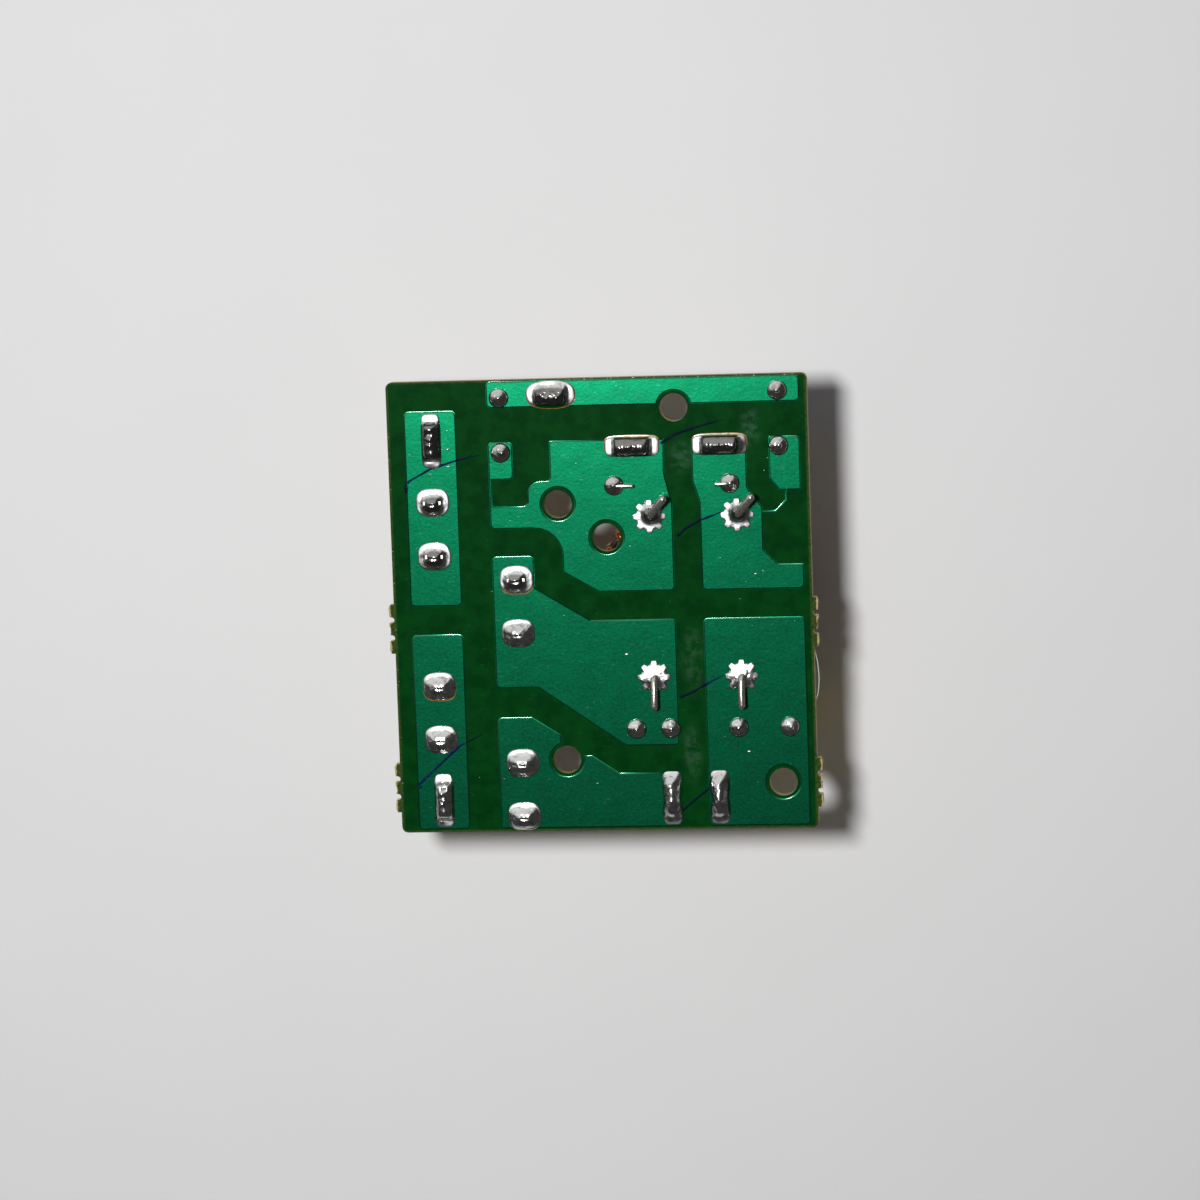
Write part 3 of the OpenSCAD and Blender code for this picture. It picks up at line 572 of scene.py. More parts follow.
@dataclass(frozen=True)
class Solder(Finish):
    """Solder: frosted white where it lies flat, a darker grey where it humps over a lead (painted shade for
    the dark surroundings that a glossy hump mirrors), and darker again on high humps towards the top (partly
    burnt flux, partly painted shade).
    """

    frosted: float = 0.46
    frost_top: float = 0.42
    dull: tuple = (0.20, 0.18, 0.155)
    # Colour of the humps, darker than the flat solder: painted shade for the dark surroundings that a glossy
    # hump mirrors
    bright: tuple = (0.64, 0.64, 0.63)
    # Colour of the high humps, more so towards the top of the board: partly burnt flux, partly painted shade
    burn_and_shade: tuple = (0.06, 0.055, 0.047)

    def build(self, groups: EffectGroups) -> bpy.types.Material:
        """Makes the material by the height over the land and the slope of the surface.

        Args:
            groups: The shared effects.

        Returns:
            The material.
        """
        material, graph, shader = self.start()
        place = graph.place()
        _, y, z = graph.axes(place)
        height = graph.math("SUBTRACT", z, COPPER)
        slope = graph.axes(graph.add("ShaderNodeNewGeometry").outputs["Normal"])[2]
        grain = self.effect(graph, groups.grain, place, self.scale, 0.6)
        worn = self.effect(graph, groups.scratches, place, 1.6, self.scratches)
        wander = graph.times(graph.math("SUBTRACT", grain.outputs["Broad"], 0.5), 0.5)
        low = graph.span(graph.math("ADD", height, wander), self.frost_top, self.frost_top - 0.14)
        frost = graph.times(low, graph.span(slope, 0.8, 0.96))
        cloudy = graph.span(grain.outputs["Fine"], 0.35, 0.65, 0.0, 0.7)
        solder_tone = graph.mix(cloudy, self.colour, self.second)
        # Humps take the darker grey: painted shade
        solder_tone = graph.mix(frost, self.bright, solder_tone)
        # High humps darken further towards the top of the board: partly burnt flux, partly painted shade
        burn_and_shade = graph.times(graph.span(height, 0.45, 0.8), graph.span(y, -6.0, 8.0, 0.1, 0.72))
        solder_tone = graph.mix(burn_and_shade, solder_tone, self.burn_and_shade)
        smoky = graph.span(graph.noise(place, 1.3, 4.0, 0.7), 0.48, 0.7, 0.0, 0.75)
        smoky = graph.times(smoky, graph.math("SUBTRACT", 1.0, frost))
        colour = graph.mix(smoky, solder_tone, self.dull)
        graph.feed(shader.inputs["Base Color"], graph.mix(worn.outputs[0], colour, self.scratch_colour))
        rise = graph.times(frost, self.frosted - self.roughness)
        graph.feed(shader.inputs["Roughness"], graph.math("ADD", self.gloss(graph, grain), rise))
        self.bump(graph, shader, grain.outputs["Height"])
        return material


@dataclass(frozen=True)
class Glass(Finish):
    """Clear glass of a fuse tube."""

    def build(self, groups: EffectGroups) -> bpy.types.Material:
        """Makes clear glass with faint drawing lines and dust.

        Args:
            groups: The shared effects.

        Returns:
            The material.
        """
        material, graph, shader = self.start()
        place = graph.place()
        shader.inputs["Transmission Weight"].default_value = 1.0
        shader.inputs["IOR"].default_value = 1.48
        worn = self.effect(graph, groups.scratches, place, 1.0, self.scratches)
        graph.feed(shader.inputs["Base Color"], graph.mix(worn.outputs[0], self.colour, self.second))
        drawn = graph.noise(graph.stretched(place, 0.0, (3.0, 0.15, 3.0)), 1.0, 2.0)
        graph.feed(shader.inputs["Roughness"], graph.span(drawn, 0.3, 0.7, 0.02, 0.06))
        self.bump(graph, shader, drawn)
        return material


@dataclass(frozen=True)
class Wire(Finish):
    """Enamelled winding wire whose ends above the board are stripped and tinned."""

    tinned: tuple = (0.44, 0.42, 0.38)
    stained: tuple = (0.22, 0.19, 0.15)

    def paint(self, graph: Graph, grain: bpy.types.Node, place: Socket) -> Socket:
        """Changes from enamel to tin where the lead enters the board.

        Args:
            graph: The material's graph.
            grain: The uneven surface.
            place: Position on the object.

        Returns:
            The colour.
        """
        enamel = super().paint(graph, grain, place)
        tin = graph.mix(graph.span(grain.outputs["Fine"], 0.5, 0.7), self.tinned, self.stained)
        return graph.mix(graph.span(graph.axes(place)[2], UNDER - 1.2, UNDER - 0.2), enamel, tin)


@dataclass(frozen=True)
class Ink(Finish):
    """Pen ink, which looks blue over a land and nearly black over the dark mask."""

    dry_mask: tuple = (0.001, 0.045, 0.008)
    dry_land: tuple = (0.0, 0.13, 0.055)

    def paint(self, graph: Graph, grain: bpy.types.Node, place: Socket) -> Socket:
        """Changes the colour by the height of what it lies on, and lets it run dry in spots.

        Args:
            graph: The material's graph.
            grain: The uneven surface.
            place: Position on the object.

        Returns:
            The colour.
        """
        over = graph.span(graph.axes(place)[2], FACE + 0.03, COPPER - 0.02)
        ink = graph.mix(over, self.second, self.colour)
        dry = graph.span(graph.noise(place, 2.6, 3.0, 0.7), 0.56, 0.72, 0.0, 0.7)
        return graph.mix(dry, ink, graph.mix(over, self.dry_mask, self.dry_land))


class Palette:
    """Every material of the board, made once."""

    def __init__(self) -> None:
        """Builds the materials from their finishes."""
        groups = EffectGroups()
        finishes = (
            Laminate(
                "laminate", (0.002, 0.050, 0.007), (0.001, 0.034, 0.0055), roughness=0.28, specular=0.009,
                relief=0.01, scratches=0.25, scratch_colour=(0.05, 0.16, 0.07),
            ),
            MaskedCopper(
                "solder_mask", (0.0, 0.125, 0.052), (0.0, 0.076, 0.031), metallic=0.9, roughness=0.275,
                uneven=0.03, coat=0.85, specular=0.03, relief=0.013, scratches=0.12,
                scratch_colour=(0.35, 0.6, 0.45),
            ),
            Solder(
                "solder", (0.84, 0.85, 0.87), (0.66, 0.66, 0.66), metallic=1.0, roughness=0.2,
                uneven=0.04, scale=1.8, relief=0.008, scratches=0.2,
            ),
            # Solder of the small round joints, whose high humps are darkened less: less burnt flux and less
            # painted shade
            Solder(
                "solder_light_burn_and_shade", (0.84, 0.85, 0.87), (0.66, 0.66, 0.66), metallic=1.0, roughness=0.2,
                uneven=0.04, scale=1.8, relief=0.008, scratches=0.2, burn_and_shade=(0.42, 0.41, 0.39),
            ),
            Wire(
                "enamelled_copper", (0.46, 0.13, 0.035), (0.36, 0.085, 0.02), metallic=0.85,
                roughness=0.25, coat=0.8, scale=0.8, relief=0.01, scratches=0.3,
                scratch_colour=(0.8, 0.45, 0.25),
            ),
            Finish(
                "tinned_lead", (0.82, 0.81, 0.78), (0.56, 0.54, 0.50), metallic=1.0, roughness=0.3,
                scale=2.0, relief=0.02,
            ),
            Finish(
                "tinned_brass", (0.78, 0.77, 0.73), (0.70, 0.68, 0.62), metallic=1.0, roughness=0.28,
                relief=0.008, scratches=0.8, scratch_colour=(0.92, 0.92, 0.9),
            ),
            Finish(
                "clip_metal", (0.74, 0.71, 0.62), (0.64, 0.60, 0.50), metallic=1.0, roughness=0.3,
                relief=0.01, scratches=0.7, scratch_colour=(0.9, 0.88, 0.8),
            ),
            Finish(
                "cap_metal", (0.82, 0.82, 0.82), (0.74, 0.74, 0.73), metallic=1.0, roughness=0.16,
                relief=0.006, scratches=0.6, scratch_colour=(0.6, 0.6, 0.58),
            ),
            Finish(
                "fuse_element", (0.7, 0.7, 0.7), (0.6, 0.6, 0.6), metallic=1.0, roughness=0.3, scale=3.0,
                relief=0.01,
            ),
            Glass(
                "fuse_glass", (0.93, 0.97, 0.96), (0.8, 0.84, 0.83), roughness=0.03, relief=0.004,
                scratches=0.2,
            ),
            Finish(
                "core_coating", (0.014, 0.03, 0.028), (0.02, 0.042, 0.038), roughness=0.42, coat=0.3,
                scale=0.9, relief=0.12, scratches=0.4, scratch_colour=(0.12, 0.14, 0.14),
            ),
            Finish(
                "divider_plastic", (0.80, 0.78, 0.70), (0.74, 0.71, 0.62), roughness=0.45, relief=0.015,
                scratches=0.4, scratch_colour=(0.6, 0.58, 0.5),
            ),
            Finish(
                "case_plastic", (0.70, 0.52, 0.035), (0.62, 0.45, 0.03), roughness=0.33, scale=0.7,
                relief=0.02, scratches=0.5, scratch_colour=(0.85, 0.74, 0.35),
            ),
            Finish(
                "resin", (0.42, 0.30, 0.05), (0.34, 0.23, 0.035), roughness=0.2, coat=0.5, scale=0.5,
                relief=0.1, scratches=0.1,
            ),
            Finish(
                "disc_coating", (0.02, 0.085, 0.36), (0.015, 0.065, 0.29), roughness=0.3, coat=0.5,
                scale=0.6, relief=0.1, scratches=0.3, scratch_colour=(0.2, 0.3, 0.55),
            ),
            Finish(
                "resistor_coating", (0.46, 0.33, 0.17), (0.40, 0.28, 0.14), roughness=0.34, coat=0.3,
                scale=0.8, relief=0.05, scratches=0.2,
            ),
            Ink(
                "ink", (0.001, 0.008, 0.055), (0.001, 0.004, 0.02), roughness=0.5, specular=0.05,
                scale=2.0, relief=0.01, scratches=0.3, scratch_colour=(0.003, 0.06, 0.05),
            ),
            Finish(
                "flux_stain", (0.30, 0.17, 0.035), (0.16, 0.10, 0.02), roughness=0.3, coat=0.6, scale=2.5,
                relief=0.04, scratches=0.2, scratch_colour=(0.6, 0.45, 0.2),
            ),
            Finish(
                "torn_fibre", (0.60, 0.52, 0.34), (0.44, 0.36, 0.20), roughness=0.8, scale=2.0,
                relief=0.1, scratches=0.2,
            ),
            # Pale cyan-green of the strand on the right edge: a painted highlight
            Finish("painted_highlight_strand", (0.42, 0.66, 0.58), (0.5, 0.6, 0.5), roughness=0.4, scale=2.0, relief=0.02),
        )
        self.materials = {finish.name: finish.build(groups) for finish in finishes}

    def __getitem__(self, name: str) -> bpy.types.Material:
        """Gives the material of that name."""
        return self.materials[name]


class Draft:
    """A mesh that is being put together from closed shells."""

    def __init__(self) -> None:
        """Starts empty."""
        self.points: list[Point] = []
        self.faces: Faces = []

    def add(self, points: Iterable[Point], faces: Iterable[Sequence[int]]) -> None:
        """Adds one shell, with its faces counted from its own first point.

        Args:
            points: Its points.
            faces: Its faces, as indices of those points.
        """
        base = len(self.points)
        self.points += [tuple(p) for p in points]
        self.faces += [tuple(base + i for i in face) for face in faces]

    def rings(self, rings: Sequence[Sequence[Point]]) -> None:
        """Joins rings of equal length into a closed skin with a fan at both ends.

        Args:
            rings: The rings, in order along the skin.
        """
        n = len(rings[0])
        points = [p for ring in rings for p in ring]
        faces = []
        for k in range(len(rings) - 1):
            a, b = k * n, (k + 1) * n
            faces += [(a + i, a + (i + 1) % n, b + (i + 1) % n, b + i) for i in range(n)]
        for start, flip in ((0, True), ((len(rings) - 1) * n, False)):
            centre = len(points)
            ring = points[start : start + n]
            points.append(tuple(sum(p[axis] for p in ring) / n for axis in range(3)))
            for i in range(n):
                face = (start + i, start + (i + 1) % n, centre)
                faces.append(face[::-1] if flip else face)
        self.add(points, faces)

    def finish(
        self,
        name: str,
        slot: str,
        material: bpy.types.Material,
        replaces: Sequence[str] = (),
        smooth: bool = True,
    ) -> bpy.types.Object:
        """Makes the object, sets it on the body and gives it its looks.

        Args:
            name: Name of the piece.
            slot: Material slot of the record. Not used.
            material: Its material.
            replaces: CAD nodes that it stands for.
            smooth: Whether its faces are shaded smooth.

        Returns:
            The piece.
        """
        mesh = bpy.data.meshes.new(name)
        mesh.from_pydata([tuple(c * MM for c in p) for p in self.points], [], self.faces)
        build = bmesh.new()
        build.from_mesh(mesh)
        bmesh.ops.recalc_face_normals(build, faces=build.faces)
        for face in build.faces:
            face.smooth = smooth
        build.to_mesh(mesh)
        build.free()
        return set_piece(bpy.data.objects.new(name, mesh), material, replaces)


def set_piece(
    piece: bpy.types.Object, material: bpy.types.Material, replaces: Sequence[str] = ()
) -> bpy.types.Object:
    """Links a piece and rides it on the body.

    Args:
        piece: The object.
        material: Its material.
        replaces: CAD nodes that it stands for.

    Returns:
        The piece.
    """
    bpy.context.scene.collection.objects.link(piece)
    piece.data.materials.clear()
    piece.data.materials.append(material)
    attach(piece, "root")
    if replaces:
        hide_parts(*replaces)
    LOG.info("%s: %d faces", piece.name, len(piece.data.polygons))
    return piece


def merged_solid(node: str, distance: float) -> bmesh.types.BMesh:
    """Copies a solid, with near points merged and flat faces joined.

    Args:
        node: The CAD node.
        distance: Points nearer than this, in metres, are merged.

    Returns:
        The copy.
    """
    build = bmesh.new()
    build.from_mesh(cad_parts[node].data)
    bmesh.ops.remove_doubles(build, verts=build.verts, dist=distance)
    bmesh.ops.dissolve_limit(build, angle_limit=math.radians(1), verts=build.verts, edges=build.edges)
    return build


def angles(count: int) -> list[float]:
    """Gives even angles all round."""
    return [2 * math.pi * i / count for i in range(count)]


def rounded_path(points: Sequence[Vector], bend: float, steps: int = 6) -> list[Vector]:
    """Rounds the corners of a path.

    Args:
        points: Corners of the path.
        bend: Radius of the bends.
        steps: Pieces in each bend.

    Returns:
        The points of the rounded path.
    """
    out = [points[0]]
    for before, here, after in zip(points, points[1:], points[2:]):
        u, v = (before - here), (after - here)
        reach = min(u.length, v.length) * 0.48
        u, v = u.normalized(), v.normalized()
        half = u.angle(v) / 2
        if half > math.radians(88):
            out.append(here)
            continue
        back = min(bend / math.tan(half), reach)
        radius = back * math.tan(half)
        centre = here + (u + v).normalized() * (radius / math.sin(half))
        start, end = here + u * back - centre, here + v * back - centre
        sweep = start.angle(end)
        for i in range(steps + 1):
            t = i / steps
            arm = start * math.sin((1 - t) * sweep) + end * math.sin(t * sweep)
            out.append(centre + arm / math.sin(sweep))
    out.append(points[-1])
    return out


def tube_rings(
    path: Sequence[Vector], radius: Callable[[float], float], sides: int = 16
) -> list[list[Point]]:
    """Gives rings round a path, each carried on from the last without twist, with rounded ends.

    Args:
        path: Points of the path.
        radius: Radius at a distance from the start in millimetres.
        sides: Points in a ring.

    Returns:
        The rings.
    """
    spots, sizes, run = [], [], 0.0
    for i, point in enumerate(path):
        run += (point - path[i - 1]).length if i else 0.0
        spots.append(point)
        sizes.append(radius(run))
    for end, step in ((0, 1), (-1, -1)):
        back, r = (spots[end + step] - spots[end]).normalized(), sizes[end]
        domes = [(spots[end] + back * r * (1 - math.sin(a)), r * math.cos(a)) for a in DOME]
        del spots[end], sizes[end]
        for spot, size in domes:
            at = 0 if end == 0 else len(spots)
            spots.insert(at, spot)
            sizes.insert(at, size)
    across = (spots[1] - spots[0]).orthogonal().normalized()
    rings = []
    for i, point in enumerate(spots):
        ahead = (spots[min(i + 1, len(spots) - 1)] - spots[max(i - 1, 0)]).normalized()
        across = (across - ahead * across.dot(ahead)).normalized()
        other = ahead.cross(across)
        arms = [across * math.cos(a) + other * math.sin(a) for a in angles(sides)]
        rings.append([tuple(point + arm * sizes[i]) for arm in arms])
    return rings


@dataclass
class Land:
    """Skin of a masked copper land, which slopes down to the laminate at its edges.

    The slope has two parts: a steep one at the rim and a gentle one inside it.
    """

    node: str
    slope: float = 0.2
    steep_share: float = 0.45
    edge_drop: float = 0.075
    gentle_drop_share: float = 0.27
    merge: float = 2e-5
    level_within: float = 1e-6
    shortest_corner: float = 0.55

    def build(self, palette: Palette) -> bpy.types.Object:
        """Makes the skin from the land's solid.

        Args:
            palette: The materials.

        Returns:
            The piece.
        """
        build = merged_solid(self.node, self.merge)
        self._round_shoulder(build)
        top = COPPER * MM
        flat = [f for f in build.faces if f.normal.z > 0.9]
        first = self._inset(build, flat, self.slope * self.steep_share)
        core = self._inset(build, flat, self.slope * (1 - self.steep_share))
        for v in build.verts:
            if abs(v.co.z - top) < self.level_within and v not in core:
                v.co.z -= self.edge_drop * (self.gentle_drop_share if v in first else 1.0) * MM
        mesh = bpy.data.meshes.new(self.node + "_skin")
        level = set(flat)
        for face in build.faces:
            face.smooth = face not in level and face.normal.z > 0.1
        build.to_mesh(mesh)
        build.free()
        piece = bpy.data.objects.new(mesh.name, mesh)
        return set_piece(piece, palette["solder_mask"], [self.node])

    @staticmethod
    def _round_shoulder(build: bmesh.types.BMesh) -> None:
        """Lets the right output land fall off in one curve past the choke's upper right lead.

        Args:
            build: The mesh of a land. No other land reaches that place.
        """
        left, right, low, high = 21.95, 23.9, 15.9, 17.0
        start, fall, reach = 16.5, 2.6, 1.95
        for v in build.verts:
            x, y = v.co.x / MM, v.co.y / MM
            if left < x < right and low < y < high:
                v.co.y = (start - fall * ((x - (left - 0.05)) / reach) ** 1.15) * MM

    def _inset(self, build: bmesh.types.BMesh, faces: Faces, width: float) -> set:
        """Insets faces by an even border whose sharp corners stay short.

        Args:
            build: The mesh.
            faces: The faces to inset.
            width: Width of the new border in millimetres.

        Returns:
            The points inside the border.
        """
        bmesh.ops.inset_region(
            build, faces=faces, thickness=width * MM, use_even_offset=True, use_boundary=True
        )
        inside = {v for f in faces for v in f.verts}
        after, inner = {}, {}
        for face in {f for v in inside for f in v.link_faces}:
            for loop in face.loops:
                a, b = loop.vert, loop.link_loop_next.vert
                if a not in inside and b not in inside:
                    after[a] = b
                elif a in inside and b not in inside:
                    inner[b] = a
        before = {b: a for a, b in after.items()}
        moved = {}
        for v, target in inner.items():
            if v in after and v in before:
                legs = (v.co - self._along(v, before, width), self._along(v, after, width) - v.co)
                left = sum((Vector((-leg.y, leg.x, 0)).normalized() for leg in legs), Vector()) / 2
                moved[target] = v.co + left / max(left.length_squared, self.shortest_corner) * width * MM
        for v, place in moved.items():
            v.co = place
        return inside

    @staticmethod
    def _along(start: bmesh.types.BMVert, follow: dict, reach: float) -> Vector:
        """Gives the point at a distance along an outline.

        Args:
            start: Where to start.
            follow: The next point after each point.
            reach: Distance in millimetres.

        Returns:
            The place of that point.
        """
        here, left = start, reach * MM
        while here in follow:
            step = follow[here].co - here.co
            if step.length >= left:
                return here.co + step * (left / step.length)
            left -= step.length
            here = follow[here]
        return here.co


@dataclass
class SoftEdged:
    """A copy of a solid with its sharp edges broken."""

    node: str
    slot: str
    width: float = 0.08
    segments: int = 2
    merge: float = 1e-6

    def build(self, palette: Palette) -> bpy.types.Object:
        """Makes the copy.

        Args:
            palette: The materials.

        Returns:
            The piece.
        """
        build = merged_solid(self.node, self.merge)
        for face in build.faces:
            face.smooth = True
        mesh = bpy.data.meshes.new(self.node + "_part")
        build.to_mesh(mesh)
        build.free()
        piece = set_piece(bpy.data.objects.new(mesh.name, mesh), palette[self.slot], [self.node])
        bevel = piece.modifiers.new("broken_edges", "BEVEL")
        bevel.width = self.width * MM
        bevel.segments = self.segments
        bevel.limit_method = "ANGLE"
        bevel.angle_limit = math.radians(35)
        piece.modifiers.new("even_normals", "WEIGHTED_NORMAL").keep_sharp = True
        return piece


@dataclass
class Mound:
    """One solder joint: a wetted foot with humps, hollows and ripples on it.

    A hump is (x, y, reach in x, reach in y, height, sharpness), from the joint's middle, and a
    second sharpness across the joint may follow.
    """

    x: float
    y: float
    length: float
    width: float
    height: float
    seed: int
    square: float = 2.0
    pillow: float = 2.5
    rough: float = 0.05
    wobble: float = 0.02
    waist: float = 0.0
    ripple: float = 0.0
    direction: Direction = Direction.ALONG_X
    humps: tuple = ()
    teeth: int = 0
    tooth_depth: float = 0.19
    sunk: float = 0.06

    def reach(self, a: float) -> float:
        """Gives the distance from the middle to the outline in a direction.

        Args:
            a: The direction, as an angle in radians.

        Returns:
            The distance in mm.
        """
        c, s = math.cos(a), math.sin(a)
        half_l, half_w = self.length / 2, self.width / 2
        n = self.square
        r = 1.0 / ((abs(c) / half_l) ** n + (abs(s) / half_w) ** n) ** (1 / n)
        if self.teeth:
            tooth = min(max(math.cos(self.teeth * a) + 0.6, 0.0), 1.0)
            tooth = tooth * tooth * (3 - 2 * tooth)
            r *= 1 - self.tooth_depth * (1 - tooth)
        if self.waist:
            r *= 1 - self.waist * abs(s) ** 6
        wander = noise.noise(Vector((c * 1.7, s * 1.7, self.seed * 3.7)))
        return r * (1 - self.wobble + self.wobble * wander)

    def level(self, u: float, v: float, rho: float) -> float:
        """Gives the height of the solder at a place.

        Args:
            u: Place along the joint.
            v: Place across the joint.
            rho: Share of the way from the middle to the outline.

        Returns:
            The height above the land.
        """
        rim = max(1 - rho**self.pillow, 0.0) ** 0.5
        h = self.height * rim
        inside = min(1.0, (1 - rho) * 5)
        for hx, hy, sx, sy, amount, *sharp in self.humps:
            along, across = abs(u - hx) / sx, abs(v - hy) / sy
            h += amount * math.exp(-(along ** sharp[0]) - across ** sharp[-1]) * inside
        if self.ripple:
            h += self.ripple * math.cos(9.0 * math.hypot(u * 0.8, v)) * inside * (1 - rho * 0.5)
        p = Vector((u * 1.1, v * 1.1, self.seed * 5.3))
        h += self.rough * (noise.noise(p) + 0.5 * noise.noise(p * 2.6)) * inside
        return max(h, 0.02 * rim)

    def shell(self, draft: Draft, rings: int = 30, spokes: int = 88) -> None:
        """Adds the joint's closed skin to a draft.

        Args:
            draft: The mesh to add to.
            rings: Number of rings from the middle out.
            spokes: Number of points round a ring.
        """
        turn = self.direction.value
        ct, st = math.cos(turn), math.sin(turn)
        skin = []
        for k in range(rings, -1, -1):
            rho = 1 - (1 - (k / rings)) ** 1.6 if k else 0.015
            ring = []
            for a in angles(spokes):
                r = self.reach(a) * rho
                u, v = r * math.cos(a), r * math.sin(a)
                z = COPPER + (self.level(u, v, rho) if k < rings else 0.0)
                ring.append((self.x + u * ct - v * st, self.y + u * st + v * ct, z))
            if k == rings:
                skin.append([(px, py, COPPER - self.sunk) for px, py, _ in ring])
            skin.append(ring)
        draft.rings(skin)


# The hump over a blade's foot
FOOT = (0, 0, 2.62, 1.32, 1.14, 12, 2.6)


def slot_joint(
    x: float, y: float, seed: int, direction: Direction, humps: tuple, **more: float
) -> Mound:
    """Makes a long joint on a blade's foot, with the given humps.

    Args:
        x: Middle across the board.
        y: Middle along the board.
        seed: Seed of its unevenness.
        direction: Which way its long side lies.
        humps: The humps.
        **more: Other values of the mound.

    Returns:
        The joint.
    """
    settings = {"length": 8.1, "width": 3.0, "height": 0.27, "square": 5.0, "pillow": 6.0, "rough": 0.07}
    settings.update(more)
    return Mound(x, y, seed=seed, direction=direction, humps=humps, **settings)


@dataclass
class SolderSide:
    """All the solder joints, by the part that they hold."""

    joints: dict = field(default_factory=dict)

    def __post_init__(self) -> None:
        """Lays out every joint, and gives each its own seed."""
        self.joints["solder_fuse_tabs"] = self._fuse_tabs()
        self.joints["solder_output_tabs"] = self._output_tabs()
        self.joints["solder_input_tabs"] = self._input_tabs()
        self.joints["solder_earth_tab"] = self._earth_tab()
        self.joints["solder_clips_a"] = self._clip_joints(FUSE_A, 11, 2)
        self.joints["solder_clips_b"] = self._clip_joints(FUSE_B, 21, 1)
        self.joints["solder_x_capacitor"] = [
            self._dot(x, -18.3, 31 + i, 0.1 * (i % 2)) for i, x in enumerate((4.5, 9.5, 19.5, 27.0))
        ]
        half = Y_PITCH / 2
        self.joints["solder_y_capacitors"] = [
            self._dot(Y_LEFT[0], Y_LEFT[1] + half, 41),
            self._dot(Y_LEFT[0], Y_LEFT[1] - half, 42, 0.15),
            self._dot(Y_RIGHT[0], Y_RIGHT[1] + half, 43),
            self._dot(Y_RIGHT[0], Y_RIGHT[1] - half, 44, 0.1),
        ]
        self.joints["solder_resistor"] = [
            self._dot(RESISTOR[0] + sx * ThinLeads.pitch_half, RESISTOR[1], seed)
            for sx, seed in ((-1, 45), (1, 46))
        ]
        corners = [(sx, sy) for sx in (-1, 1) for sy in (-1, 1)]
        self.joints["solder_choke"] = [
            self._star(CHOKE[0] + sx * PIN_DX, CHOKE[1] + sy * PIN_DY, 51 + i)
            for i, (sx, sy) in enumerate(corners)
        ]

    @staticmethod
    def _fuse_tabs() -> list[Mound]:
        """Lays out the two joints that stand up the left side.

        Returns:
            The joints.
        """
        upper = (
            FOOT,
            (1.9, 0, 0.5, 0.7, 0.12, 2),
            (1.2, 0.1, 0.3, 0.35, -0.12, 2),
            (0.3, 0, 0.3, 0.35, 0.2, 2),
            (-0.5, 0.05, 0.28, 0.35, 0.18, 2),
            (-3.3, 0.1, 0.5, 0.8, 0.15, 2),
        )
        lower = (
            FOOT,
            (1.9, -0.1, 0.35, 0.4, -0.3, 2),
            (1.2, 0.15, 0.35, 0.4, 0.15, 2),
            (0.2, -0.1, 0.3, 0.35, 0.2, 2),
            (-0.4, 0.15, 0.3, 0.3, 0.18, 2),
            (-1.6, 0.0, 0.6, 0.5, 0.1, 2),
            (-3.3, 0.5, 0.5, 0.5, 0.25, 2),
        )
        x = FUSE_A[0] + 0.1
        return [
            slot_joint(x, 24.55, 1, Direction.ALONG_Y, upper),
            slot_joint(x, -28.5, 2, Direction.ALONG_Y, lower),
        ]

    @staticmethod
    def _output_tabs() -> list[Mound]:
        """Lays out the two joints that lie across the top.

        Returns:
            The joints.
        """
        humps = (
            FOOT,
            (-0.7, 0.05, 0.2, 0.3, 0.16, 2),
            (-0.1, 0.1, 0.25, 0.25, 0.18, 2),
            (0.6, 0.05, 0.2, 0.3, 0.16, 2),
            (-1.7, 0.0, 0.2, 0.8, 0.1, 2),
            (1.5, 0.0, 0.2, 0.8, 0.1, 2),
        )
        end = (2.8, 0.1, 0.9, 0.9, 0.35, 2)
        left, right = OUTPUT_TABS
        return [
            slot_joint(*left, 3, Direction.ALONG_X, humps),
            slot_joint(*right, 4, Direction.ALONG_X, (*humps, end)),
        ]

    @staticmethod
    def _input_tabs() -> list[Mound]:
        """Lays out the two waisted joints at the bottom.

        Returns:
            The joints.
        """
        humps = (
            (0.3, 0, 3.0, 1.28, 1.2, 5, 2.4),
            (0.2, 0, 1.7, 0.7, 0.33, 2),
            (-2.2, 0, 0.5, 0.5, 0.2, 2),
            (-0.3, 0.0, 0.25, 0.3, 0.14, 2),
            (-0.8, 0.1, 0.22, 0.25, 0.1, 2),
            (-3.25, 0.4, 0.3, 0.35, 0.16, 2),
            (-3.1, -0.5, 0.35, 0.3, 0.16, 2),
        )
        return [
            slot_joint(x, -28.6, seed, Direction.ALONG_Y, humps, width=3.1, waist=waist, rough=0.1)
            for x, seed, waist in ((9.45, 5, 0.12), (16.45, 6, 0.14))
        ]

    @staticmethod
    def _earth_tab() -> list[Mound]:
        """Lays out the broad joint of the earth blade.

        Returns:
            The joint, in a list.
        """
        humps = (
            (0, -0.35, 2.25, 1.3, 1.12, 8, 3),
            (-0.5, -0.4, 0.35, 0.3, 0.2, 2),
            (0.4, 0.25, 0.4, 0.25, 0.18, 2),
            (1.0, -0.4, 0.3, 0.3, 0.16, 2),
            (-1.3, 0.2, 0.3, 0.35, 0.16, 2),
        )
        return [Mound(*EARTH_TAB, 7.3, 4.15, 0.26, 7, square=2.5, pillow=7, rough=0.08, humps=humps)]

